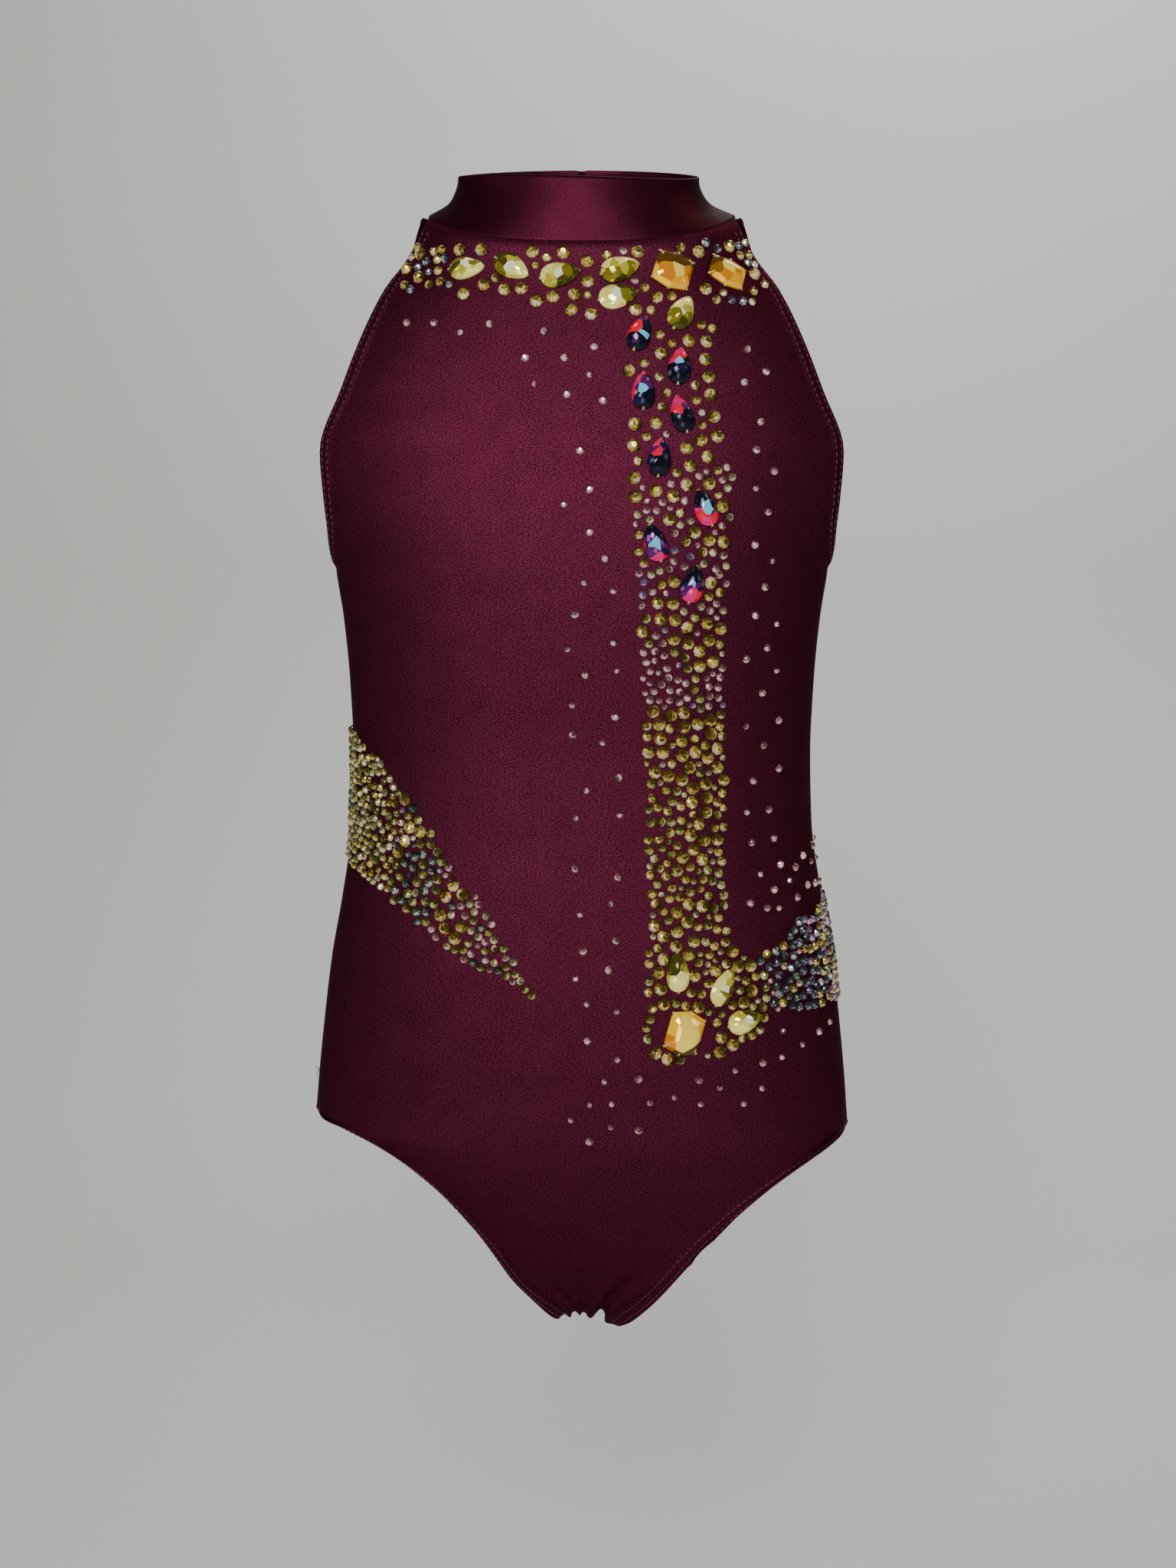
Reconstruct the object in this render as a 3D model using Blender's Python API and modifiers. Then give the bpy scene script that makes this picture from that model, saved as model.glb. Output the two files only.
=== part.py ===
"""A child's rhythmic gymnastics leotard, kept in its worn, hollow form.

Sizes are in millimetres here and become metres where a mesh is made. The front of
the garment faces -Y, the wearer's left is at +X and +Z is up. The origin is at the
middle of the neck seam. The front, the back and the stand collar are walls of one
cloth thickness, lofted through the control sections in the tables below. The large
sew-on stones, the button and its loop are solids of their own.
"""
import math
from collections import namedtuple

import bmesh
import bpy
import numpy as np
from mathutils import Matrix, Vector
from mathutils.bvhtree import BVHTree

MM = 0.001

# Rays that look for a face of the cloth start this far out
RAY_START = 200.0

# Cloth and sewing
CLOTH = 1.4
SEAM_GAP = 0.3
HEM_WIDTH = 8.0
ROW_STEP = 19.0
ROW_STEP_LEG = 9.0
LEG_ROWS_FROM_Z = -420.0
HIPS_HIGH_Z = -405.0
HIPS_LOW_Z = -500.0
HIPS_PASSES = 6
SIDE_SEAM_BAND = 0.5
MIDDLE_SPANS = 18
HEM_SPANS = 1
CURVE_SAMPLES = 49
WELD = 0.01
ON_CENTRE = 1e-6
FRONT_FACING = -1.0
RIM_ANGLE = math.radians(50)

# Neck ring, as a rounded oval seen from above
NECK_HALF_WIDTH = 75.0
NECK_HALF_DEPTH = 57.0
NECK_CENTRE_Y = 2.0
NECK_POWER = 0.8
NECK_MEAN_Z = 3.4
NECK_TILT = 14.4
NECK_SADDLE = 4.4
NECK_SEAM_TILT = math.radians(45)
SHOULDER_SEAM_ANGLE = 69.0
SHOULDER_CORNER = (75.0, -19.5, 0.4)
SHOULDER_SHARE = 0.92

# Stand collar
COLLAR_TOP_HALF_WIDTH = 57.6
COLLAR_TOP_HALF_DEPTH = 52.0
COLLAR_TOP_POWER = 0.9
COLLAR_TOP_MEAN_Z = 26.0
COLLAR_TOP_TILT = 12.2
COLLAR_TOP_RISE = 1.8
COLLAR_EASE = 2.4
COLLAR_ROWS = 6
COLLAR_COLUMNS = 48
COLLAR_OPENING = 1.0

# Keyhole slit under the collar at the centre back
SLIT_TOP_HALF = 0.6
SLIT_WIDEST_HALF = 7.0
SLIT_LENGTH = 92.0

# Closure at the centre back
BUTTON_RADIUS = 4.5
BUTTON_HEIGHT = 4.6
SHANK_RADIUS = 1.2
SHANK_HEIGHT = 2.3
BUTTON_X = 6.0
LOOP_THICKNESS = 1.3
LOOP_RADIUS = 2.4
LOOP_TAIL_X = -5.0
CLOSURE_Z = 23.0
BUTTON_SEAT = 0.5

# A body section of these walls is a rounded oval: sine and cosine to this power
BODY_POWER = 2.0 / 2.2

# Control sections of the front, from the collarbone down and under to the crotch
# seam. y_mid, z_mid: the section at the centre front. x_edge, y_edge, z_edge: its end
# on the armhole, side seam or leg line. wrap: how far it turns, in degrees. skew: how
# much higher the wearer's right leg line is than the mean, and the left one lower.
Section = namedtuple("Section", "y_mid z_mid x_edge y_edge z_edge wrap skew")
FRONT_SECTIONS = [
    Section(-57.5, -29.0, 83.0, -22.0, -17.0, 74, 0.0),
    Section(-61.5, -45.0, 94.0, -28.0, -33.0, 70, 0.0),
    Section(-66.5, -64.0, 104.5, -33.0, -55.0, 65, 0.0),
    Section(-71.5, -86.0, 115.0, -35.0, -82.0, 63, 0.0),
    Section(-76.0, -110.0, 125.5, -31.0, -111.0, 66, 0.0),
    Section(-79.0, -133.0, 124.0, -30.0, -133.0, 68, 0.0),
    Section(-80.3, -149.0, 122.4, -28.0, -149.0, 71, 0.0),
    Section(-80.8, -158.0, 122.2, -21.0, -157.5, 76, 0.0),
    Section(-81.0, -166.0, 121.9, -11.0, -162.5, 83, 0.0),
    Section(-81.0, -173.0, 121.3, 0.0, -165.0, 90, 0.0),
    Section(-80.5, -192.0, 117.8, 0.0, -189.0, 90, 0.0),
    Section(-79.0, -222.0, 114.9, 0.0, -220.0, 90, 0.0),
    Section(-77.3, -256.0, 113.4, 0.0, -256.0, 90, 0.0),
    Section(-78.0, -290.0, 114.2, 0.0, -290.0, 90, 0.0),
    Section(-80.0, -325.0, 119.0, 0.0, -325.0, 90, 0.0),
    Section(-81.5, -362.0, 125.2, 0.0, -360.0, 90, 0.0),
    Section(-80.3, -400.0, 130.0, 0.0, -401.0, 90, 1.0),
    Section(-77.0, -433.0, 133.6, 0.0, -438.5, 90, 3.5),
    Section(-76.1, -438.5, 127.0, -27.0, -439.5, 80, 4.3),
    Section(-75.1, -443.5, 114.0, -44.0, -442.8, 66, 6.5),
    Section(-72.9, -452.0, 98.5, -51.5, -450.2, 58, 7.8),
    Section(-68.8, -464.0, 83.5, -54.0, -460.5, 52, 8.6),
    Section(-62.8, -477.5, 69.5, -52.5, -473.4, 45, 9.2),
    Section(-54.8, -491.5, 57.5, -47.5, -487.3, 40, 9.3),
    Section(-44.8, -506.0, 46.5, -40.0, -502.9, 35, 8.6),
    Section(-32.5, -519.0, 37.5, -31.5, -517.1, 30, 7.1),
    Section(-20.5, -529.0, 29.5, -21.0, -530.0, 30, 5.0),
    Section(-8.5, -535.0, 22.5, -9.5, -541.0, 30, 2.5),
    Section(1.0, -537.0, 19.0, -1.0, -545.0, 30, 1.6),
    Section(11.0, -537.5, 17.5, 7.0, -546.0, 30, 1.2),
]
BACK_SECTIONS = [
    Section(60.5, 3.0, 77.6, -9.5, 3.9, 98, 0.0),
    Section(62.5, -8.0, 79.8, 3.0, 2.2, 90, 0.0),
    Section(65.5, -21.0, 84.5, 15.0, -8.5, 82, 0.0),
    Section(69.5, -37.0, 92.5, 26.0, -26.0, 74, 0.0),
    Section(74.5, -55.0, 103.0, 33.0, -48.0, 68, 0.0),
    Section(79.0, -80.0, 113.5, 36.0, -76.0, 65, 0.0),
    Section(82.0, -108.0, 124.0, 33.0, -108.0, 67, 0.0),
    Section(82.3, -133.0, 123.3, 31.0, -133.0, 69, 0.0),
    Section(81.6, -149.0, 122.4, 28.0, -149.0, 71, 0.0),
    Section(81.0, -158.0, 122.2, 21.0, -157.5, 76, 0.0),
    Section(80.0, -166.0, 121.9, 11.0, -162.5, 83, 0.0),
    Section(79.0, -173.0, 121.3, 0.0, -165.0, 90, 0.0),
    Section(76.5, -192.0, 117.8, 0.0, -189.0, 90, 0.0),
    Section(70.0, -222.0, 114.9, 0.0, -220.0, 90, 0.0),
    Section(65.5, -256.0, 113.4, 0.0, -256.0, 90, 0.0),
    Section(67.0, -290.0, 114.2, 0.0, -290.0, 90, 0.0),
    Section(74.5, -325.0, 119.0, 0.0, -325.0, 90, 0.0),
    Section(85.0, -362.0, 125.2, 0.0, -360.0, 90, 0.0),
    Section(93.0, -400.0, 130.0, 0.0, -401.0, 90, 1.0),
    Section(96.0, -433.0, 133.6, 0.0, -438.5, 90, 3.5),
    Section(95.5, -453.0, 130.5, 26.0, -443.5, 80, 3.0),
    Section(92.0, -472.0, 121.0, 49.0, -455.0, 70, 2.0),
    Section(85.0, -491.0, 106.0, 64.0, -469.0, 62, 1.0),
    Section(75.0, -507.0, 88.0, 71.5, -485.0, 56, 0.0),
    Section(62.5, -519.5, 69.5, 70.0, -501.5, 50, 0.0),
    Section(49.0, -528.0, 52.0, 60.0, -517.0, 42, 0.5),
    Section(35.5, -534.0, 36.5, 44.5, -531.0, 35, 1.0),
    Section(23.0, -536.5, 25.0, 27.5, -541.0, 30, 1.2),
    Section(11.0, -537.5, 17.5, 7.0, -546.0, 30, 1.2),
]

# Gathers that rise from the crotch: ridges have a height above 0, troughs below.
# Each runs from x_low at the crotch to x_high at z_high, where it dies out.
Fold = namedtuple("Fold", "x_low x_high z_high width height")
CROTCH_FOLDS = [
    Fold(14.5, 43.0, -504.0, 4.6, 3.0),
    Fold(9.0, 33.0, -502.0, 3.4, -2.4),
    Fold(5.0, 23.0, -498.0, 3.4, 1.8),
    Fold(1.0, 1.0, -508.0, 4.0, -2.0),
    Fold(-5.0, -20.0, -510.0, 3.2, -1.6),
    Fold(-10.0, -30.0, -510.0, 4.4, 2.4),
]
FOLD_FOOT_Z = -531.0

# Large sew-on stones. kind: drop, or kite, a bulged four-sided one. x, z: its middle on the
# front. tip: the way its narrow end points, in degrees from +X towards +Z.
Stone = namedtuple("Stone", "name kind colour x z tip length width")
LARGE_STONES = [
    Stone("drop_citrine_1", "drop", "citrine", -53.7, -27.0, -4, 17.5, 11.4),
    Stone("drop_citrine_2", "drop", "citrine", -32.5, -27.3, -32, 18.0, 11.6),
    Stone("drop_citrine_3", "drop", "citrine", -10.0, -31.4, 12, 18.5, 12.0),
    Stone("drop_citrine_4", "drop", "citrine", 17.8, -28.6, 18, 18.5, 12.0),
    Stone("drop_citrine_5", "drop", "citrine", 17.0, -41.6, 16, 18.5, 12.0),
    Stone("drop_citrine_6", "drop", "citrine", 46.4, -49.2, 62, 18.0, 11.8),
    Stone("drop_citrine_7", "drop", "citrine", 44.6, -355.6, 92, 18.5, 11.0),
    Stone("drop_citrine_8", "drop", "citrine", 66.4, -363.6, 62, 18.5, 11.0),
    Stone("drop_citrine_9", "drop", "citrine", 76.5, -380.1, 12, 17.5, 11.6),
    Stone("kite_amber_1", "kite", "amber", 42.2, -28.9, -15, 18.2, 18.6),
    Stone("kite_amber_2", "kite", "amber", 68.0, -28.3, -12, 18.2, 15.6),
    Stone("kite_amber_3", "kite", "amber", 47.8, -384.3, -15, 16.8, 21.5),
    Stone("drop_violet_1", "drop", "violet", 26.9, -59.4, 70, 17.3, 11.2),
    Stone("drop_violet_2", "drop", "violet", 45.2, -74.6, 82, 17.3, 11.2),
    Stone("drop_violet_3", "drop", "violet", 28.5, -86.4, 88, 17.3, 11.2),
    Stone("drop_violet_4", "drop", "violet", 46.1, -97.1, 104, 17.3, 11.2),
    Stone("drop_violet_5", "drop", "violet", 35.8, -117.4, 84, 17.3, 11.2),
    Stone("drop_violet_6", "drop", "violet", 56.8, -140.2, 112, 17.3, 11.2),
    Stone("drop_violet_7", "drop", "violet", 33.7, -156.6, 108, 17.3, 11.2),
    Stone("drop_violet_8", "drop", "violet", 51.2, -175.4, 76, 17.3, 11.2),
]
STONE_GIRDLE = 1.2
STONE_HEIGHT = 4.2
STONE_TABLE_SHARE = 0.5
DROP_SIDES = 12
DROP_FULLNESS = 1.22
DROP_TAPER = 0.22
STONE_PROBE_SHARE = 0.4
KITE_CORNERS = [(0.50, 0.38), (0.49, -0.39), (0.0, -0.50), (-0.50, -0.38), (-0.48, 0.39), (0.03, 0.50)]
KITE_BEVEL = 0.12

FINISHES = {
    "cloth": ((0.075, 0.009, 0.028), 0.42, 0.0),
    "citrine": ((0.80, 0.66, 0.16), 0.08, 0.2),
    "amber": ((0.85, 0.36, 0.03), 0.08, 0.2),
    "violet": ((0.22, 0.03, 0.24), 0.08, 0.4),
    "button": ((0.085, 0.012, 0.033), 0.30, 0.0),
    "elastic": ((0.05, 0.008, 0.022), 0.70, 0.0),
}


def clear_scene():
    """Remove what the scene holds when Blender starts."""
    for thing in list(bpy.data.objects):
        bpy.data.objects.remove(thing)


def make_collection(name):
    """Make the collection for the garment's pieces."""
    collection = bpy.data.collections.new(name)
    bpy.context.scene.collection.children.link(collection)
    return collection


def make_material(name, finish):
    """Make a plain material from a row of FINISHES."""
    colour, roughness, metallic = FINISHES[finish]
    material = bpy.data.materials.new(name)
    material.use_nodes = True
    shader = material.node_tree.nodes["Principled BSDF"]
    shader.inputs["Base Color"].default_value = (*colour, 1.0)
    shader.inputs["Roughness"].default_value = roughness
    shader.inputs["Metallic"].default_value = metallic
    return material


def add_object(name, mesh, finish, collection):
    """Link a mesh as a named object with a material of its own."""
    mesh.materials.append(make_material(name + "_finish", finish))
    piece = bpy.data.objects.new(name, mesh)
    collection.objects.link(piece)
    return piece


def rounded(value, power):
    """Raise a sine or cosine to a power and keep its sign."""
    return np.sign(value) * np.abs(value) ** power


def neck_point(angle):
    """Points of the neck seam; the angle, in radians, is 0 at the front, pi behind."""
    x = NECK_HALF_WIDTH * rounded(np.sin(angle), NECK_POWER)
    ahead = rounded(np.cos(angle), NECK_POWER)
    y = NECK_CENTRE_Y - NECK_HALF_DEPTH * ahead
    z = NECK_MEAN_Z - NECK_TILT * ahead - NECK_SADDLE * (2.0 * ahead ** 2 - 1.0)
    return np.stack([x, y, z], axis=-1)


def neck_curve(shares, from_angle):
    """The top edge of a panel: along the neck seam, then out along the shoulder seam."""
    seam_angle = math.radians(SHOULDER_SEAM_ANGLE)
    along = np.clip(shares / SHOULDER_SHARE, 0.0, 1.0)
    points = neck_point(from_angle + (seam_angle - from_angle) * along)
    out = np.clip((shares - SHOULDER_SHARE) / (1.0 - SHOULDER_SHARE), 0.0, 1.0)[:, None]
    corner = np.array(SHOULDER_CORNER)
    return points * (1.0 - out) + corner * out


def section_curve(section, shares, side):
    """A control section from the centre (share 0) to the edge (share 1)."""
    end = math.radians(section.wrap)
    angle = shares * end
    reach = rounded(np.sin(angle), BODY_POWER) / math.sin(end) ** BODY_POWER
    last = rounded(math.cos(end), BODY_POWER)
    turn = (1.0 - rounded(np.cos(angle), BODY_POWER)) / (1.0 - last)
    x = side * section.x_edge * reach
    y = section.y_mid + (section.y_edge - section.y_mid) * turn
    z_edge = section.z_edge - side * section.skew
    z = section.z_mid + (z_edge - section.z_mid) * turn
    return np.stack([x, y, z], axis=-1)


def evened(curve):
    """The same curve with its points at even distances."""
    steps = np.linalg.norm(np.diff(curve, axis=0), axis=1)
    travelled = np.concatenate([[0.0], np.cumsum(steps)])
    wanted = np.linspace(0.0, travelled[-1], len(curve))
    return np.stack([np.interp(wanted, travelled, curve[:, axis]) for axis in range(3)], axis=-1)


def control_curves(sections, from_angle, side):
    """The control curves of half a panel, from its top edge down, with even points."""
    shares = np.linspace(0.0, 1.0, CURVE_SAMPLES)
    top = neck_curve(shares, from_angle) * np.array([side, 1.0, 1.0])
    return [evened(top)] + [evened(section_curve(row, shares, side)) for row in sections]


def row_places(sections, from_angle):
    """Where the mesh rows lie between the control curves, as (span, share) pairs."""
    both = [control_curves(sections, from_angle, side) for side in (1.0, -1.0)]
    places = []
    for span in range(len(sections)):
        longest = max(np.linalg.norm(curves[span + 1] - curves[span], axis=1).max()
                      for curves in both)
        step = ROW_STEP_LEG if sections[span].z_mid < LEG_ROWS_FROM_Z else ROW_STEP
        count = max(1, int(round(longest / step)))
        places += [(span, k / count) for k in range(count)]
    return places + [(len(sections) - 1, 1.0)]


def span_slope(curves, span):
    """The slope of each column between two control curves, and its length."""
    step = curves[span + 1] - curves[span]
    length = np.maximum(np.linalg.norm(step, axis=1), 1e-6)[:, None]
    return step / length, length


def knot_slope(curves, index):
    """The slope at a control curve, chosen so that no coordinate overshoots."""
    before = span_slope(curves, max(index - 1, 0))[0]
    after = span_slope(curves, min(index, len(curves) - 2))[0]
    product = before * after
    together = np.where(product > 0.0, before + after, 1.0)
    return np.where(product > 0.0, 2.0 * product / together, 0.0)


def loft(curves, span, share):
    """A smooth curve between two control curves, with the slopes of their neighbours."""
    t = share
    length = span_slope(curves, span)[1]
    return ((2 * t ** 3 - 3 * t ** 2 + 1) * curves[span]
            + (t ** 3 - 2 * t ** 2 + t) * length * knot_slope(curves, span)
            + (3 * t ** 2 - 2 * t ** 3) * curves[span + 1]
            + (t ** 3 - t ** 2) * length * knot_slope(curves, span + 1))


def spread(curve, start_x=0.0):
    """Points along a half row: even in the middle, and HEM_SPANS across the hem."""
    steps = np.linalg.norm(np.diff(curve, axis=0), axis=1)
    travelled = np.concatenate([[0.0], np.cumsum(steps)])
    start = np.interp(start_x, np.abs(curve[:, 0]), travelled) if start_x > 0 else 0.0
    total = travelled[-1]
    hem = min(HEM_WIDTH, 0.4 * (total - start))
    middle = np.linspace(start, total - hem, MIDDLE_SPANS // 2 + 1)
    edge = np.linspace(total - hem, total, HEM_SPANS + 1)[1:]
    wanted = np.concatenate([middle, edge])
    return np.stack([np.interp(wanted, travelled, curve[:, axis]) for axis in range(3)], axis=-1)


def slit_half_width(z, top_z):
    """Half the width of the keyhole at a height; it is a drop, narrow at the top."""
    down = (top_z - z) / SLIT_LENGTH
    if down >= 1.0:
        return 0.0
    drop = math.sin(math.pi * max(down, 0.0) ** 1.5) ** 0.8
    return SLIT_TOP_HALF * (1.0 - down) + SLIT_WIDEST_HALF * drop


def half_rows(sections, from_angle, side, slit=False):
    """Mesh points of half a panel, row by row, from the centre to the edge."""
    curves = control_curves(sections, from_angle, side)
    rows = []
    for span, share in row_places(sections, from_angle):
        curve = loft(curves, span, share)
        start_x = slit_half_width(curve[0][2], curves[0][0][2]) if slit else 0.0
        rows.append(spread(curve, start_x))
    return rows


def sheet_normals(rows):
    """Unit vectors off a sheet of points, on the side that its rows turn towards."""
    across = np.gradient(rows, axis=1)
    down = np.gradient(rows, axis=0)
    normals = np.cross(across, down)
    return normals / np.linalg.norm(normals, axis=2, keepdims=True)


def add_wall(bm, outer, inner, turned_over=False, open_start=None):
    """Add a closed wall between two sheets of points, both in millimetres.

    turned_over is for sheets whose rows run the other way. open_start tells, for each
    row, whether the first column is a free edge. Where it is not, the wall stays open
    there for its other half. None closes it all round.
    """
    sheets = [[[bm.verts.new(point * MM) for point in row] for row in sheet]
              for sheet in (outer, inner)]
    count, width = outer.shape[0], outer.shape[1]
    loops = []
    for sheet, reverse in zip(sheets, (False, True)):
        for above, below in zip(sheet, sheet[1:]):
            for k in range(width - 1):
                loop = (above[k], above[k + 1], below[k + 1], below[k])
                loops.append(loop[::-1] if reverse else loop)
    rim = [(r, 0) for r in range(count - 1, -1, -1)] + [(0, k) for k in range(1, width)]
    rim += [(r, width - 1) for r in range(1, count)]
    rim += [(count - 1, k) for k in range(width - 2, -1, -1)]
    for (r1, k1), (r2, k2) in zip(rim, rim[1:]):
        on_start = k1 == 0 and k2 == 0
        if on_start and open_start is not None and not open_start[min(r1, r2)]:
            continue
        loops.append((sheets[0][r1][k1], sheets[1][r1][k1],
                      sheets[1][r2][k2], sheets[0][r2][k2]))
    for loop in loops:
        bm.faces.new(loop[::-1] if turned_over else loop)


def finished_mesh(name, bm):
    """Turn a wall of cloth into a smooth mesh with sharp rims."""
    bmesh.ops.remove_doubles(bm, verts=bm.verts, dist=WELD * MM)
    bm.normal_update()
    mesh = bpy.data.meshes.new(name)
    bm.to_mesh(mesh)
    bm.free()
    mesh.shade_smooth()
    mesh.set_sharp_from_angle(angle=RIM_ANGLE)
    return mesh


def fold_height(x, z):
    """How far the crotch gathers lift or sink the cloth at a place on a panel."""
    height = 0.0
    for fold in CROTCH_FOLDS:
        along = (fold.z_high - z) / (fold.z_high - FOLD_FOOT_Z)
        if along <= 0.0:
            continue
        along = min(along, 1.0)
        middle = fold.x_high + (fold.x_low - fold.x_high) * along
        width = fold.width * (1.3 - 0.5 * along)
        strength = along * along * (3.0 - 2.0 * along)
        height += fold.height * strength * math.exp(-((x - middle) / width) ** 2)
    return height


def neck_inward(angle):
    """The way through the cloth at the neck seam: in to the neck, and down at its sides."""
    ahead, aside = rounded(np.cos(angle), NECK_POWER), rounded(np.sin(angle), NECK_POWER)
    radial = np.array([aside / NECK_HALF_WIDTH, -ahead / NECK_HALF_DEPTH, 0.0])
    radial /= np.linalg.norm(radial)
    tilt = NECK_SEAM_TILT * math.sin(angle) ** 2
    inward = -radial * math.cos(tilt) - np.array([0.0, 0.0, math.sin(tilt)])
    upward = -radial * math.sin(tilt) + np.array([0.0, 0.0, math.cos(tilt)])
    return inward, upward


def neck_angle(point):
    """The angle of a point of the neck seam, as neck_point counts it."""
    ahead = rounded((NECK_CENTRE_Y - point[1]) / NECK_HALF_DEPTH, 1.0 / NECK_POWER)
    return math.copysign(math.acos(max(-1.0, min(1.0, ahead))), point[0])


def settled(sheet):
    """Smooth a sheet down its columns round the hips, where the leg lines begin."""
    hips = [k for k, row in enumerate(sheet) if HIPS_LOW_Z < row[:, 2].mean() < HIPS_HIGH_Z]
    band = slice(hips[0], hips[-1] + 1)
    above, below = slice(hips[0] - 1, hips[-1]), slice(hips[0] + 1, hips[-1] + 2)
    for _ in range(HIPS_PASSES):
        average = (sheet[above, 1:-1] + sheet[below, 1:-1]) / 2
        sheet[band, 1:-1] = (sheet[band, 1:-1] + average) / 2
    return sheet


def panel_sheets(rows, facing):
    """The outer and inner points of a panel.

    facing is 1 where the cross product of across and down points outwards, else -1.
    """
    outer = settled(np.array(rows))
    behind = outer[0][0][1] > NECK_CENTRE_Y
    outer[:, :, 1] += (SEAM_GAP if behind else -SEAM_GAP) / 2
    outward = sheet_normals(outer) * facing
    outward[-1] = (0.0, 0.0, -1.0)
    on_centre = np.abs(outer[:, :, 0]) < ON_CENTRE
    outward[on_centre, 0] = 0.0
    lifts = np.array([[fold_height(x, z) for x, _, z in row] for row in outer])
    outer = outer + outward * lifts[:, :, None]
    inward = sheet_normals(outer) * -facing
    inward[-1] = (0.0, 0.0, 1.0)
    inward[on_centre, 0] = 0.0
    for column in (0, -1):
        on_side_seam = np.abs(outer[:, column, 1]) < SIDE_SEAM_BAND
        inward[on_side_seam, column] = 0.0
        inward[on_side_seam, column, 0] = -np.sign(outer[on_side_seam, column, 0])
    inward[0] = [neck_inward(neck_angle(point))[0] for point in outer[0]]
    return outer, outer + inward * CLOTH


def make_front(collection):
    """The front panel, from the collar and armholes to the crotch seam."""
    left = half_rows(FRONT_SECTIONS, 0.0, 1.0)
    right = half_rows(FRONT_SECTIONS, 0.0, -1.0)
    rows = [np.concatenate([r[::-1], l[1:]]) for l, r in zip(left, right)]
    outer, inner = panel_sheets(rows, FRONT_FACING)
    bm = bmesh.new()
    add_wall(bm, outer, inner, turned_over=True)
    return add_object("front_panel", finished_mesh("front_panel", bm), "cloth", collection)


def make_back(collection):
    """The back panel: two halves that meet at the centre, below the keyhole slit."""
    halves = []
    for side in (1.0, -1.0):
        rows = half_rows(BACK_SECTIONS, math.pi, side, slit=True)
        halves.append(panel_sheets(rows, side))
    slit_open = [abs(row[0][0]) > ON_CENTRE for row in halves[0][0]]
    for left, right in zip(*halves):
        for row, is_open in enumerate(slit_open):
            if not is_open:
                left[row, 0] = right[row, 0] = (left[row, 0] + right[row, 0]) / 2
    bm = bmesh.new()
    add_wall(bm, *halves[0], open_start=slit_open)
    add_wall(bm, *halves[1], turned_over=True, open_start=slit_open)
    return add_object("back_panel", finished_mesh("back_panel", bm), "cloth", collection)


def collar_point(angle, share):
    """A point of the collar's outer face; share is 0 at the neck seam, 1 at the top."""
    base = neck_point(angle) + neck_inward(angle)[1] * SEAM_GAP
    ahead = rounded(np.cos(angle), COLLAR_TOP_POWER)
    top = np.array([COLLAR_TOP_HALF_WIDTH * rounded(np.sin(angle), COLLAR_TOP_POWER),
                    NECK_CENTRE_Y - COLLAR_TOP_HALF_DEPTH * ahead,
                    COLLAR_TOP_MEAN_Z - COLLAR_TOP_TILT * ahead + COLLAR_TOP_RISE * ahead ** 2])
    drawn_in = 1.0 - (1.0 - share) ** (1.0 + (COLLAR_EASE - 1.0) * math.sin(angle) ** 2)
    point = base + (top - base) * drawn_in
    point[2] = base[2] + (top[2] - base[2]) * share
    return point


def make_collar(collection):
    """The stand collar, open at the centre back where the button closes it."""
    gap = COLLAR_OPENING / 2 / COLLAR_TOP_HALF_WIDTH
    angles = np.linspace(gap - math.pi, math.pi - gap, COLLAR_COLUMNS + 1)
    outer = np.array([[collar_point(angle, k / COLLAR_ROWS) for angle in angles]
                      for k in range(COLLAR_ROWS + 1)])
    for column, side in ((0, -1.0), (-1, 1.0)):
        outer[:, column, 0] = side * COLLAR_OPENING / 2
    inward = -sheet_normals(outer)
    inward[0] = [neck_inward(angle)[0] for angle in angles]
    inward[:, (0, -1), 0] = 0.0
    bm = bmesh.new()
    add_wall(bm, outer, outer + inward * CLOTH)
    return add_object("collar", finished_mesh("collar", bm), "cloth", collection)


def back_point(collar_tree, x, z, lift):
    """A place on the collar's outer face at the back, lifted off the cloth."""
    hit, normal, _, _ = collar_tree.ray_cast(Vector((x, RAY_START, z)) * MM, Vector((0.0, -1.0, 0.0)))
    return hit + normal * lift * MM, normal


def make_button(collar_tree, collection):
    """The shank button on the collar's end, turned from a profile."""
    profile = [(0.0, BUTTON_HEIGHT), (0.6 * BUTTON_RADIUS, BUTTON_HEIGHT - 0.35),
               (BUTTON_RADIUS - 0.3, BUTTON_HEIGHT - 1.2), (BUTTON_RADIUS, BUTTON_HEIGHT - 1.7),
               (BUTTON_RADIUS - 0.5, SHANK_HEIGHT), (SHANK_RADIUS, SHANK_HEIGHT),
               (SHANK_RADIUS, 0.0), (0.0, 0.0)]
    mesh = bpy.data.meshes.new("button")
    points = [(r * MM, 0.0, h * MM) for r, h in profile]
    mesh.from_pydata(points, [(k, k + 1) for k in range(len(points) - 1)], [])
    piece = add_object("button", mesh, "button", collection)
    turn = piece.modifiers.new("turned", "SCREW")
    turn.steps = turn.render_steps = 20
    turn.use_merge_vertices = True
    turn.merge_threshold = 0.00005
    place, normal = back_point(collar_tree, BUTTON_X, CLOSURE_Z, BUTTON_SEAT)
    piece.location = place
    piece.rotation_euler = normal.to_track_quat("Z", "Y").to_euler()
    return piece


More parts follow.
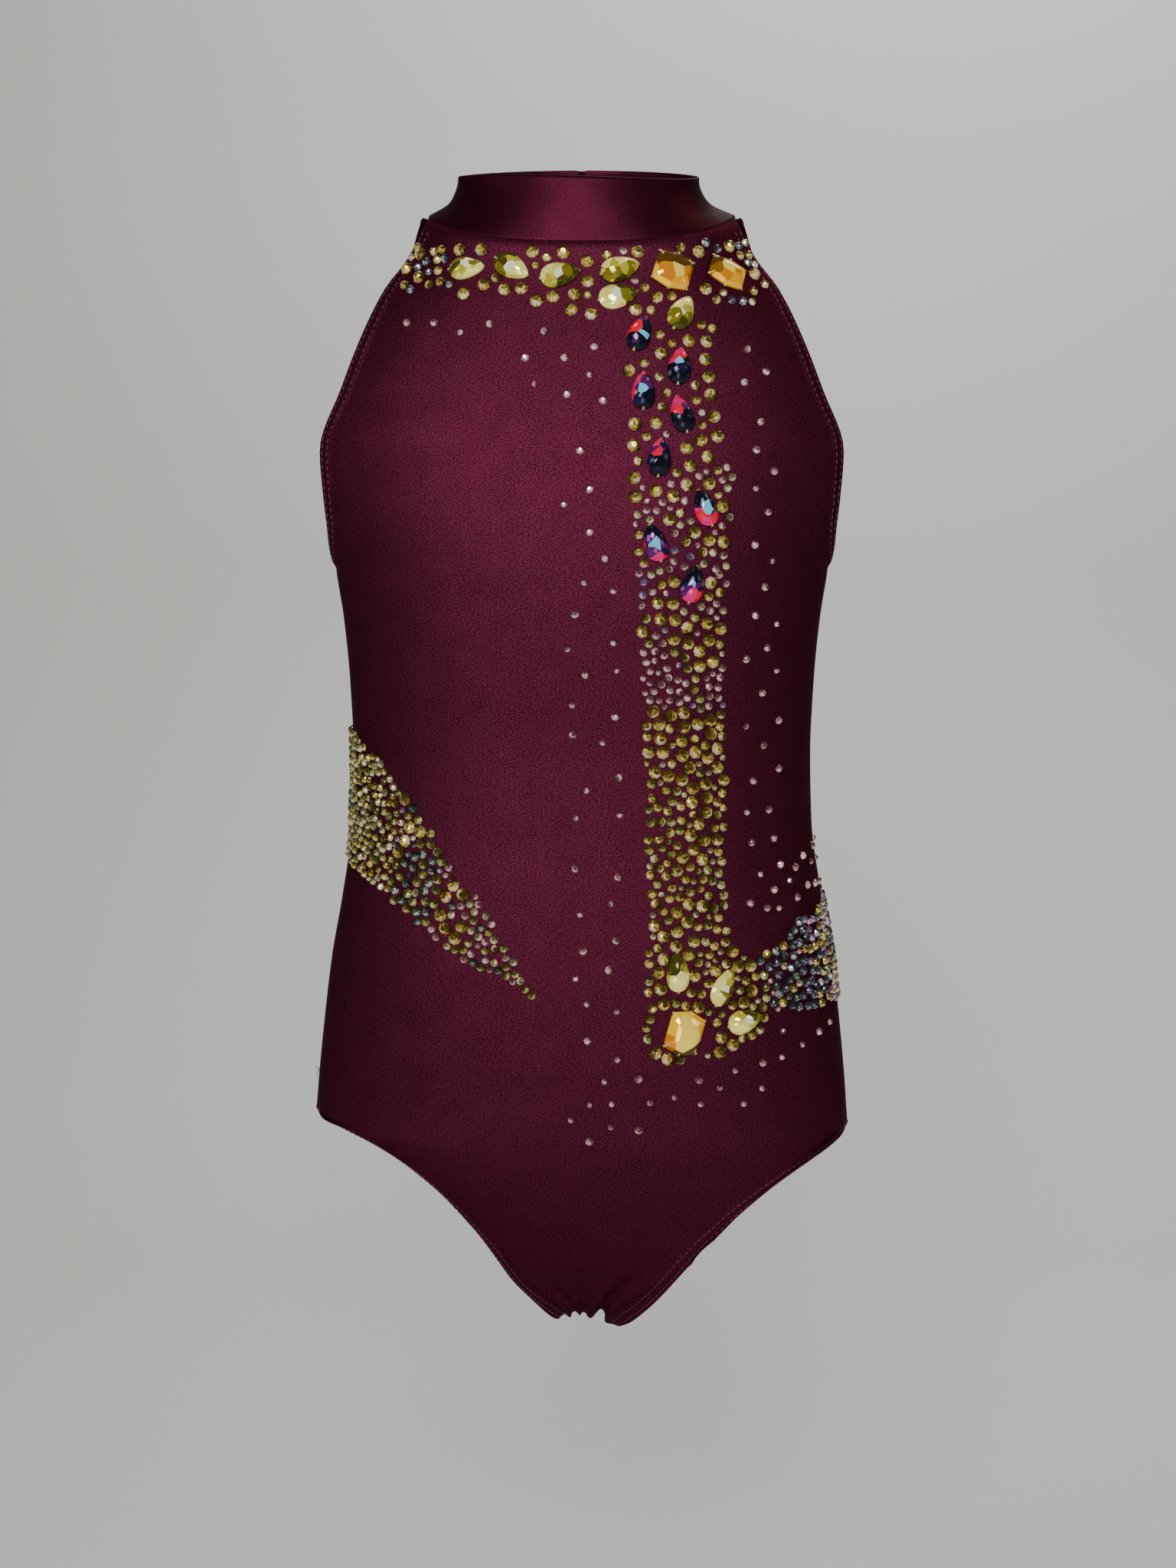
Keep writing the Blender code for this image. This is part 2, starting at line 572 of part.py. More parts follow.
def make_loop(collar_tree, collection):
    """The elastic loop from the collar's other end, round the button's shank."""
    lift = BUTTON_SEAT + LOOP_THICKNESS / 2
    turn = [math.radians(90 - 30 * k) for k in range(7)]
    route = [(LOOP_TAIL_X, LOOP_RADIUS), (0.4 * LOOP_TAIL_X, LOOP_RADIUS), (0.4 * BUTTON_X, LOOP_RADIUS)]
    route += [(BUTTON_X + LOOP_RADIUS * math.cos(angle), LOOP_RADIUS * math.sin(angle)) for angle in turn]
    route += [(x, -z) for x, z in route[2::-1]]
    curve = bpy.data.curves.new("button_loop", "CURVE")
    curve.dimensions = "3D"
    curve.bevel_depth = LOOP_THICKNESS / 2 * MM
    curve.bevel_resolution = 2
    curve.use_fill_caps = True
    spline = curve.splines.new("POLY")
    spline.points.add(len(route) - 1)
    for point, (x, z) in zip(spline.points, route):
        place, _ = back_point(collar_tree, x, CLOSURE_Z + z, lift)
        point.co = (*place, 1.0)
    curve.materials.append(make_material("button_loop_finish", "elastic"))
    piece = bpy.data.objects.new("button_loop", curve)
    collection.objects.link(piece)
    return piece


def drop_outline(length, width):
    """The outline of a drop stone with its tip at +X, anticlockwise."""
    points = []
    for k in range(DROP_SIDES):
        angle = 2.0 * math.pi * k / DROP_SIDES
        half_width = 0.5 * width * DROP_FULLNESS * (1.0 - DROP_TAPER * (1.0 + math.cos(angle)))
        points.append((0.5 * length * math.cos(angle), half_width * math.sin(angle)))
    return points


def kite_outline(length, width):
    """The outline of a four-sided stone with two bulged sides, anticlockwise."""
    corners = [Vector((x * length, y * width)) for x, y in KITE_CORNERS[::-1]]
    points = []
    for k, corner in enumerate(corners):
        before, after = corners[k - 1], corners[(k + 1) % len(corners)]
        points.append(corner.lerp(before, KITE_BEVEL))
        points.append(corner.lerp(after, KITE_BEVEL))
    return [(p.x, p.y) for p in points]


def stone_mesh(stone):
    """A flat-backed stone: an outline drawn up to its girdle, then in to its table."""
    outline = (drop_outline if stone.kind == "drop" else kite_outline)(stone.length, stone.width)
    levels = [(1.0, 0.0), (1.0, STONE_GIRDLE), (STONE_TABLE_SHARE, STONE_HEIGHT)]
    bm = bmesh.new()
    rings = [[bm.verts.new((x * share * MM, y * share * MM, height * MM)) for x, y in outline]
             for share, height in levels]
    bm.faces.new(rings[0][::-1])
    bm.faces.new(rings[-1])
    for low, high in zip(rings, rings[1:]):
        for k in range(len(outline)):
            bm.faces.new((low[k - 1], low[k], high[k], high[k - 1]))
    mesh = bpy.data.meshes.new(stone.name)
    bm.to_mesh(mesh)
    bm.free()
    return mesh


def front_surface(front_tree, x, z):
    """The point of the front's outer face straight behind a place, in metres."""
    return front_tree.ray_cast(Vector((x, -RAY_START, z)) * MM, Vector((0.0, 1.0, 0.0)))[0]


def make_stone(stone, front_tree, collection):
    """Seat a large stone on the front panel, flat side down, just clear of the cloth."""
    probe = STONE_PROBE_SHARE * stone.width
    place = front_surface(front_tree, stone.x, stone.z)
    across = front_surface(front_tree, stone.x + probe, stone.z) - place
    upward = front_surface(front_tree, stone.x, stone.z + probe) - place
    normal = across.cross(upward).normalized()
    tip = math.radians(stone.tip)
    way = Vector((math.cos(tip), 0.0, math.sin(tip)))
    way = (way - normal * way.dot(normal)).normalized()
    frame = Matrix((way, normal.cross(way), normal)).transposed()
    mesh = stone_mesh(stone)
    clearances = [0.0]
    for vert in mesh.vertices:
        if vert.co.z < STONE_GIRDLE / 2 * MM:
            corner = place + frame @ vert.co
            cloth = front_tree.ray_cast(corner + normal * probe * MM, -normal)[0]
            clearances.append((corner - cloth).dot(normal))
    piece = add_object(stone.name, mesh, stone.colour, collection)
    piece.location = place + normal * (SEAM_GAP * MM - min(clearances))
    piece.rotation_euler = frame.to_euler()
    return piece


def solid_tree(piece):
    """A search tree of a piece's evaluated faces."""
    bpy.context.view_layer.update()
    return BVHTree.FromObject(piece, bpy.context.evaluated_depsgraph_get())


def make_leotard():
    """Build every piece of the garment."""
    clear_scene()
    collection = make_collection("rhythmic_gymnastics_leotard")
    front = make_front(collection)
    make_back(collection)
    collar_tree = solid_tree(make_collar(collection))
    make_button(collar_tree, collection)
    make_loop(collar_tree, collection)
    front_tree = solid_tree(front)
    for stone in LARGE_STONES:
        make_stone(stone, front_tree, collection)


make_leotard()
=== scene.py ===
"""Looks of a child's rhythmic gymnastics leotard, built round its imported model.

Sizes are in millimetres and become metres where a mesh is made. The front of the
garment faces -Y, the wearer's left is at +X, +Z is up, and the origin is at the middle
of the neck seam.
"""

import logging
import math
from dataclasses import dataclass, field
from enum import Enum

import bmesh
import bpy
import numpy as np
from mathutils import Matrix, Vector
from mathutils.bvhtree import BVHTree
from mathutils.kdtree import KDTree


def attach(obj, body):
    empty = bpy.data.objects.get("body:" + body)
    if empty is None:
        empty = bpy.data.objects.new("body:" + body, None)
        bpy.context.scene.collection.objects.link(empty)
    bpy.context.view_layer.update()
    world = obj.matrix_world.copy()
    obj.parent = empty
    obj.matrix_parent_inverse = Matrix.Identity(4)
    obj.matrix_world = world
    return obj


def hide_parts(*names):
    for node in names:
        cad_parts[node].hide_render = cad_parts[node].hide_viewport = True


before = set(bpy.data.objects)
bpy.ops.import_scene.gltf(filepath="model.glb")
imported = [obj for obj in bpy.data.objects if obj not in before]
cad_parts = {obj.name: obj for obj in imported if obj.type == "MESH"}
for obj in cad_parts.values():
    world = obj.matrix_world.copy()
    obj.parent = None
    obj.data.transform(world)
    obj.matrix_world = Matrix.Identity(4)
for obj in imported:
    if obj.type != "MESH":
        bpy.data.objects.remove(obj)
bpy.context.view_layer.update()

Array = np.ndarray
Pair = tuple[float, float]
Triple = tuple[float, float, float]
Colour4 = tuple[float, float, float, float]
Piece = bpy.types.Object
Material = bpy.types.Material
Node = bpy.types.Node
NodeTree = bpy.types.NodeTree
Socket = bpy.types.NodeSocket

LOG = logging.getLogger("leotard")
# Metres in a millimetre, the one body, the distance at which points merge in metres, how
# near y = 0 an edge is a side seam, how near x = 0 a point is on the centre, where rays
# start, how far two rows of stitches lie in from a hem's edge, and the map's units a metre.
MM = 0.001
BODY = "root"
WELD = 0.00001
SIDE_SEAM_BAND = 0.5
ON_CENTRE = 1e-6
RAY_START = 200.0
STITCH_ROWS = (2.2, 6.6)
MAP_SCALE = 10.0

# The control sections that both panels have at the side seam: y at the centre of the
# front and of the back, z there, x, y and z at the edge, how far the section turns in
# degrees, and how much higher the wearer's right edge is than the mean.
SIDE_ROWS = (
    (-80.3, 81.6, -149.0, 122.4, 28.0, -149.0, 71, 0.0),
    (-80.8, 81.0, -158.0, 122.2, 21.0, -157.5, 76, 0.0),
    (-81.0, 80.0, -166.0, 121.9, 11.0, -162.5, 83, 0.0),
    (-81.0, 79.0, -173.0, 121.3, 0.0, -165.0, 90, 0.0),
    (-80.5, 76.5, -192.0, 117.8, 0.0, -189.0, 90, 0.0),
    (-79.0, 70.0, -222.0, 114.9, 0.0, -220.0, 90, 0.0),
    (-77.3, 65.5, -256.0, 113.4, 0.0, -256.0, 90, 0.0),
    (-78.0, 67.0, -290.0, 114.2, 0.0, -290.0, 90, 0.0),
    (-80.0, 74.5, -325.0, 119.0, 0.0, -325.0, 90, 0.0),
    (-81.5, 85.0, -362.0, 125.2, 0.0, -360.0, 90, 0.0),
    (-80.3, 93.0, -400.0, 130.0, 0.0, -401.0, 90, 1.0),
    (-77.0, 96.0, -433.0, 133.6, 0.0, -438.5, 90, 3.5),
)
# All the control sections of each panel, from the collar down and under to the crotch
# seam: y and z at the centre, then the edge, the turn and the skew as above.
FRONT_SECTIONS = (
    (-57.5, -29.0, 83.0, -22.0, -17.0, 74, 0.0),
    (-61.5, -45.0, 94.0, -28.0, -33.0, 70, 0.0),
    (-66.5, -64.0, 104.5, -33.0, -55.0, 65, 0.0),
    (-71.5, -86.0, 115.0, -35.0, -82.0, 63, 0.0),
    (-76.0, -110.0, 125.5, -31.0, -111.0, 66, 0.0),
    (-79.0, -133.0, 124.0, -30.0, -133.0, 68, 0.0),
    *((y, z, x_edge, -y_edge, z_edge, wrap, skew)
      for y, _, z, x_edge, y_edge, z_edge, wrap, skew in SIDE_ROWS),
    (-76.1, -438.5, 127.0, -27.0, -439.5, 80, 4.3),
    (-75.1, -443.5, 114.0, -44.0, -442.8, 66, 6.5),
    (-72.9, -452.0, 98.5, -51.5, -450.2, 58, 7.8),
    (-68.8, -464.0, 83.5, -54.0, -460.5, 52, 8.6),
    (-62.8, -477.5, 69.5, -52.5, -473.4, 45, 9.2),
    (-54.8, -491.5, 57.5, -47.5, -487.3, 40, 9.3),
    (-44.8, -506.0, 46.5, -40.0, -502.9, 35, 8.6),
    (-32.5, -519.0, 37.5, -31.5, -517.1, 30, 7.1),
    (-20.5, -529.0, 29.5, -21.0, -530.0, 30, 5.0),
    (-8.5, -535.0, 22.5, -9.5, -541.0, 30, 2.5),
    (1.0, -537.0, 19.0, -1.0, -545.0, 30, 1.6),
    (11.0, -537.5, 17.5, 7.0, -546.0, 30, 1.2),
)
BACK_SECTIONS = (
    (60.5, 3.0, 77.6, -9.5, 3.9, 98, 0.0),
    (62.5, -8.0, 79.8, 3.0, 2.2, 90, 0.0),
    (65.5, -21.0, 84.5, 15.0, -8.5, 82, 0.0),
    (69.5, -37.0, 92.5, 26.0, -26.0, 74, 0.0),
    (74.5, -55.0, 103.0, 33.0, -48.0, 68, 0.0),
    (79.0, -80.0, 113.5, 36.0, -76.0, 65, 0.0),
    (82.0, -108.0, 124.0, 33.0, -108.0, 67, 0.0),
    (82.3, -133.0, 123.3, 31.0, -133.0, 69, 0.0),
    *((y, z, x_edge, y_edge, z_edge, wrap, skew)
      for _, y, z, x_edge, y_edge, z_edge, wrap, skew in SIDE_ROWS),
    (95.5, -453.0, 130.5, 26.0, -443.5, 80, 3.0),
    (92.0, -472.0, 121.0, 49.0, -455.0, 70, 2.0),
    (85.0, -491.0, 106.0, 64.0, -469.0, 62, 1.0),
    (75.0, -507.0, 88.0, 71.5, -485.0, 56, 0.0),
    (62.5, -519.5, 69.5, 70.0, -501.5, 50, 0.0),
    (49.0, -528.0, 52.0, 60.0, -517.0, 42, 0.5),
    (35.5, -534.0, 36.5, 44.5, -531.0, 35, 1.0),
    (23.0, -536.5, 25.0, 27.5, -541.0, 30, 1.2),
    (11.0, -537.5, 17.5, 7.0, -546.0, 30, 1.2),
)


@dataclass(frozen=True)
class Section:
    """One control section of a panel."""

    y_mid: float
    z_mid: float
    x_edge: float
    y_edge: float
    z_edge: float
    wrap: float
    skew: float


@dataclass(frozen=True)
class Gather:
    """A ridge that rises from the crotch seam, or a trough where its height is below 0."""

    x_low: float
    x_high: float
    z_high: float
    width: float
    height: float


@dataclass(frozen=True)
class Crease:
    """A soft trough or ridge across a panel, from one place to another."""

    x_from: float
    z_from: float
    x_to: float
    z_to: float
    width: float
    height: float


CROTCH_GATHERS = tuple(Gather(*row) for row in (
    (14.5, 43.0, -504.0, 4.6, 3.0),
    (9.0, 33.0, -502.0, 3.4, -2.4),
    (5.0, 23.0, -498.0, 3.4, 1.8),
    (1.0, 1.0, -508.0, 4.0, -2.0),
    (-5.0, -20.0, -510.0, 3.2, -1.6),
    (-10.0, -30.0, -510.0, 4.4, 2.4),
))
FINE_GATHERS = tuple(Gather(*row) for row in (
    (11.8, 30.0, -516.0, 1.3, -0.5),
    (3.0, 10.0, -520.0, 1.4, 0.7),
    (-1.5, -4.0, -519.0, 1.5, 0.9),
    (-7.4, -18.0, -521.0, 1.1, -0.6),
    (-13.0, -27.0, -518.0, 1.4, -0.6),
))
FOLD_FOOT_Z = -531.0

FRONT_CREASES = tuple(Crease(*row) for row in (
    (112.0, -128.0, 86.0, -138.0, 4.5, -0.7),
    (113.0, -143.0, 92.0, -160.0, 4.0, -0.6),
    (-112.0, -126.0, -88.0, -134.0, 4.5, -0.6),
    (-113.0, -142.0, -90.0, -158.0, 4.0, -0.6),
    (118.0, -432.0, 84.0, -426.0, 5.0, -0.6),
    (-116.0, -426.0, -80.0, -422.0, 5.0, -0.5),
    (-58.0, -476.0, -28.0, -462.0, 5.0, -0.5),
    (62.0, -486.0, 32.0, -470.0, 5.0, -0.5),
    (-104.0, -262.0, -62.0, -257.0, 6.0, -0.4),
    (104.0, -270.0, 70.0, -262.0, 6.0, -0.5),
))
BACK_CREASES = tuple(Crease(*row) for row in (
    (-112.0, -130.0, -84.0, -141.0, 4.5, -0.7),
    (112.0, -127.0, 86.0, -136.0, 4.5, -0.6),
    (100.0, -262.0, 40.0, -252.0, 7.0, -0.9),
    (-96.0, -270.0, -34.0, -262.0, 7.0, -0.8),
    (54.0, -286.0, 6.0, -280.0, 6.0, -0.6),
    (-62.0, -240.0, -12.0, -246.0, 6.0, -0.5),
    (9.0, -96.0, 30.0, -112.0, 4.0, -0.5),
    (-9.0, -97.0, -28.0, -115.0, 4.0, -0.5),
    (44.0, -508.0, 20.0, -496.0, 5.0, -0.6),
    (-46.0, -506.0, -22.0, -492.0, 5.0, -0.5),
))


def rounded(value: Array, power: float) -> Array:
    """Raise a sine or cosine to a power and keep its sign."""
    return np.sign(value) * np.abs(value) ** power


def eased(value: Array) -> Array:
    """A smooth step from 0 to 1 between 0 and 1."""
    share = np.clip(value, 0.0, 1.0)
    return share * share * (3.0 - 2.0 * share)


def travelled(curve: Array) -> Array:
    """The distance along a curve at each of its points."""
    steps = np.linalg.norm(np.diff(curve, axis=0), axis=1)
    return np.concatenate([[0.0], np.cumsum(steps)])


def run_along(sheet: Array, axis: int = 1) -> Array:
    """The distance along each row of a sheet, or with axis 0 down each column."""
    steps = np.linalg.norm(np.diff(sheet, axis=axis), axis=2)
    return np.insert(np.cumsum(steps, axis=axis), 0, 0.0, axis=axis)


def read_at(curve: Array, places: Array, along: Array) -> Array:
    """Points of a curve at given distances along it.

    Args:
        curve: its points.
        places: the distance at each of its points.
        along: the distances wanted.

    Returns:
        The points there.
    """
    return np.stack([np.interp(along, places, curve[:, axis]) for axis in range(3)], axis=-1)


def unit(vectors: Array) -> Array:
    """The same vectors with a length of 1."""
    return vectors / np.maximum(np.linalg.norm(vectors, axis=-1, keepdims=True), 1e-9)


def sheet_normals(sheet: Array) -> Array:
    """Unit vectors off a sheet of points, by the right-hand rule of its rows and columns."""
    return unit(np.cross(np.gradient(sheet, axis=1), np.gradient(sheet, axis=0)))


@dataclass(frozen=True)
class NeckRing:
    """The neck seam, a rounded oval, and the short shoulder seams beside it."""

    half_width: float = 75.0
    half_depth: float = 57.0
    centre_y: float = 2.0
    power: float = 0.8
    mean_z: float = 3.4
    tilt: float = 14.4
    saddle: float = 4.4
    seam_tilt: float = math.radians(45)
    shoulder_angle: float = math.radians(69)
    shoulder_corner: Triple = (75.0, -19.5, 0.4)
    shoulder_share: float = 0.92

    def point(self, angle: Array) -> Array:
        """Points of the seam; the angle is 0 at the front and pi behind."""
        ahead = rounded(np.cos(angle), self.power)
        x = self.half_width * rounded(np.sin(angle), self.power)
        y = self.centre_y - self.half_depth * ahead
        z = self.mean_z - self.tilt * ahead - self.saddle * (2.0 * ahead ** 2 - 1.0)
        return np.stack([x, y, z], axis=-1)

    def angle(self, point: Array) -> float:
        """The angle of a point of the seam."""
        ahead = float(rounded((self.centre_y - point[1]) / self.half_depth, 1.0 / self.power))
        return math.copysign(math.acos(max(-1.0, min(1.0, ahead))), point[0])

    def ways(self, angle: float) -> tuple[Array, Array]:
        """The way through the cloth at the seam, and the way up into the collar."""
        ahead, aside = rounded(np.cos(angle), self.power), rounded(np.sin(angle), self.power)
        radial = unit(np.array([aside / self.half_width, -ahead / self.half_depth, 0.0]))
        tilt = self.seam_tilt * math.sin(angle) ** 2
        inward = -radial * math.cos(tilt) - np.array([0.0, 0.0, math.sin(tilt)])
        upward = -radial * math.sin(tilt) + np.array([0.0, 0.0, math.cos(tilt)])
        return inward, upward

    def top_edge(self, shares: Array, from_angle: float, side: float) -> Array:
        """The top edge of half a panel: along the neck seam, then along the shoulder seam."""
        along = np.clip(shares / self.shoulder_share, 0.0, 1.0)
        points = self.point(from_angle + (self.shoulder_angle - from_angle) * along)
        out = np.clip((shares - self.shoulder_share) / (1.0 - self.shoulder_share), 0, 1)[:, None]
        points = points * (1.0 - out) + np.array(self.shoulder_corner) * out
        return points * np.array([side, 1.0, 1.0])


@dataclass
class PanelCut:
    """How a body panel is lofted from its control sections, half by half."""

    sections: tuple[Section, ...]
    from_angle: float
    neck: NeckRing = field(default_factory=NeckRing)
    body_power: float = 2.0 / 2.2
    samples: int = 121
    row_step: float = 5.0
    leg_row_step: float = 3.0
    leg_rows_from_z: float = -420.0
    middle_spans: int = 56
    slit_top_half: float = 0.6
    slit_widest_half: float = 7.0
    slit_length: float = 92.0
    slit_low: float = 1.5
    slit_fullness: float = 0.8
    hem_most: float = 0.4
    hips_high_z: float = -405.0
    hips_low_z: float = -500.0
    hips_passes: int = 54
    edge_places: tuple[float, ...] = (9.6, 8.7, 8.1, 7.4, 6.2, 4.4, 2.6, 1.4, 0.6, 0.0)

    def section_curve(self, section: Section, shares: Array, side: float) -> Array:
        """A control section from the centre, at share 0, to the edge, at share 1."""
        end = math.radians(section.wrap)
        reach = rounded(np.sin(shares * end), self.body_power) / math.sin(end) ** self.body_power
        last = float(rounded(math.cos(end), self.body_power))
        turn = (1.0 - rounded(np.cos(shares * end), self.body_power)) / (1.0 - last)
        z_edge = section.z_edge - side * section.skew
        return np.stack([side * section.x_edge * reach,
                         section.y_mid + (section.y_edge - section.y_mid) * turn,
                         section.z_mid + (z_edge - section.z_mid) * turn], axis=-1)

    def control_curves(self, side: float) -> list[Array]:
        """The control curves of half the panel, from its top edge down, evenly pointed."""
        shares = np.linspace(0.0, 1.0, self.samples)
        curves = [self.neck.top_edge(shares, self.from_angle, side)]
        curves += [self.section_curve(section, shares, side) for section in self.sections]
        return [read_at(c, travelled(c), np.linspace(0.0, travelled(c)[-1], self.samples))
                for c in curves]

    def row_places(self) -> list[tuple[int, float]]:
        """Where the rows lie between the control curves, as span and share."""
        both = [self.control_curves(side) for side in (1.0, -1.0)]
        places = []
        for span in range(len(self.sections)):
            longest = max(np.linalg.norm(c[span + 1] - c[span], axis=1).max() for c in both)
            low = self.sections[span].z_mid < self.leg_rows_from_z
            count = max(1, round(longest / (self.leg_row_step if low else self.row_step)))
            places += [(span, k / count) for k in range(count)]
        return places + [(len(self.sections) - 1, 1.0)]

    @staticmethod
    def slopes(curves: list[Array]) -> tuple[list[Array], list[Array]]:
        """The slope at each control curve, with no overshoot, and each span's lengths."""
        steps = [low - high for high, low in zip(curves, curves[1:])]
        lengths = [np.maximum(np.linalg.norm(step, axis=1), 1e-6)[:, None] for step in steps]
        spans = [step / length for step, length in zip(steps, lengths)]
        knots = []
        for before, after in zip([spans[0]] + spans, spans + [spans[-1]]):
            product = before * after
            together = np.where(product > 0.0, before + after, 1.0)
            knots.append(np.where(product > 0.0, 2.0 * product / together, 0.0))
        return knots, lengths

    def slit_half_width(self, z: float, top_z: float) -> float:
        """Half the width of the keyhole at a height; it is a drop, narrow at the top."""
        down = (top_z - z) / self.slit_length
        if down >= 1.0:
            return 0.0
        drop = math.sin(math.pi * max(down, 0.0) ** self.slit_low) ** self.slit_fullness
        return self.slit_top_half * (1.0 - down) + self.slit_widest_half * drop

    def spread(self, curve: Array, start_x: float) -> Array:
        """Points along a half row: even in the middle, and set by edge_places at the hem."""
        along = travelled(curve)
        start = float(np.interp(start_x, np.abs(curve[:, 0]), along)) if start_x > 0 else 0.0
        total = along[-1]
        scale = min(1.0, self.hem_most * (total - start) / self.edge_places[0])
        hem = total - np.array(self.edge_places) * scale
        middle = np.linspace(start, hem[0], self.middle_spans // 2 + 1)
        return read_at(curve, along, np.concatenate([middle, hem[1:]]))

    def half_rows(self, side: float, slit: bool = False) -> Array:
        """Points of half the panel, row by row, from the centre to the edge.

        Args:
            side: 1 for the wearer's left, -1 for the right.
            slit: whether the rows start beside the keyhole slit.

        Returns:
            An array of rows, columns and coordinates.
        """
        curves = self.control_curves(side)
        knots, lengths = self.slopes(curves)
        rows = []
        for span, t in self.row_places():
            curve = ((2 * t ** 3 - 3 * t ** 2 + 1) * curves[span]
                     + (t ** 3 - 2 * t ** 2 + t) * lengths[span] * knots[span]
                     + (3 * t ** 2 - 2 * t ** 3) * curves[span + 1]
                     + (t ** 3 - t ** 2) * lengths[span] * knots[span + 1])
            start = self.slit_half_width(curve[0][2], curves[0][0][2]) if slit else 0.0
            rows.append(self.spread(curve, start))
        return np.array(rows)

    def settled(self, sheet: Array) -> Array:
        """Smooth a sheet down its columns round the hips, where the leg lines begin."""
        mean_z = sheet[:, :, 2].mean(axis=1)
        hips = np.where((mean_z > self.hips_low_z) & (mean_z < self.hips_high_z))[0]
        band = slice(hips[0], hips[-1] + 1)
        above, below = slice(hips[0] - 1, hips[-1]), slice(hips[0] + 1, hips[-1] + 2)
        for _ in range(self.hips_passes):
            average = (sheet[above, 1:-1] + sheet[below, 1:-1]) / 2
            sheet[band, 1:-1] = (sheet[band, 1:-1] + average) / 2
        return sheet


class Relief:
    """The gathers, creases and hems that lift or sink a panel's face."""

    hem_width = 8.1
    hem_lift = 0.5
    seam_width = 5.0
    seam_lift = 0.22
    hem_step = 1.2
    seam_step = 1.5
    groove = 0.8
    groove_width = 1.2
    stitch_sink = 0.16
    stitch_width = 0.7
    gather_top = 1.3
    gather_narrowing = 0.5
    crease_bow = 0.06
    crease_start = (4.0, 0.4)
    crease_end = 1.6
    strip_half = 17.5
    drawn_top_z = -512.0
    drawn_depth = 34.0
    drawn_by = 6.3
    sag = 7.0
    sag_width = 9.5

    @classmethod
    def drawn_in(cls, outer: Array) -> Array:
        """Draw the wearer's right of the crotch strip inwards, and let its middle sag."""
        x, z = outer[:, :, 0], outer[:, :, 2]
        low = eased((cls.drawn_top_z - z) / cls.drawn_depth)
        inwards = cls.drawn_by * low * np.clip(-x / cls.strip_half, 0.0, 1.0)
        down = cls.sag * low * np.exp(-(x / cls.sag_width) ** 2)
        return outer + np.stack([inwards, np.zeros_like(x), -down], axis=-1)

    @staticmethod
    def gathers(x: Array, z: Array, folds: tuple[Gather, ...]) -> Array:
        """How far the crotch gathers lift the cloth at places on a panel."""
        height = np.zeros_like(x)
        for fold in folds:
            along = np.clip((fold.z_high - z) / (fold.z_high - FOLD_FOOT_Z), 0.0, 1.0)
            middle = fold.x_high + (fold.x_low - fold.x_high) * along
            width = fold.width * (Relief.gather_top - Relief.gather_narrowing * along)
            height += fold.height * eased(along) * np.exp(-((x - middle) / width) ** 2)
        return height

    @staticmethod
    def creases(x: Array, z: Array, lines: tuple[Crease, ...]) -> Array:
        """How far the soft creases lift the cloth at places on a panel."""
        height = np.zeros_like(x)
        for line in lines:
            run = np.array([line.x_to - line.x_from, line.z_to - line.z_from])
            length = np.linalg.norm(run)
            way = run / length
            along = ((x - line.x_from) * way[0] + (z - line.z_from) * way[1]) / length
            bow = Relief.crease_bow * length * np.sin(np.pi * np.clip(along, 0.0, 1.0))
            across = (x - line.x_from) * -way[1] + (z - line.z_from) * way[0] - bow
            rate, ahead = Relief.crease_start
            fade = eased(along * rate + ahead) * eased((1.0 - along) * Relief.crease_end)
            height += line.height * fade * np.exp(-(across / line.width) ** 2)
        return height

    @classmethod
    def hem(cls, distance: Array, on_seam: Array) -> Array:
        """How far a turned hem, or a pressed seam, lifts the cloth near its edge.

        Args:
            distance: how far each point is from the edge.
            on_seam: whether the edge is a seam there and not a hem.

        Returns:
            The lifts.
        """
        hem = cls.hem_lift * eased((cls.hem_width + 0.5 - distance) / cls.hem_step)
        for place in STITCH_ROWS:
            hem -= cls.stitch_sink * np.exp(-((distance - place) / cls.stitch_width) ** 2)
        seam = cls.seam_lift * eased((cls.seam_width - distance) / cls.seam_step)
        seam *= 1.0 - cls.groove * np.exp(-(distance / cls.groove_width) ** 2)
        return np.where(on_seam, seam, hem)


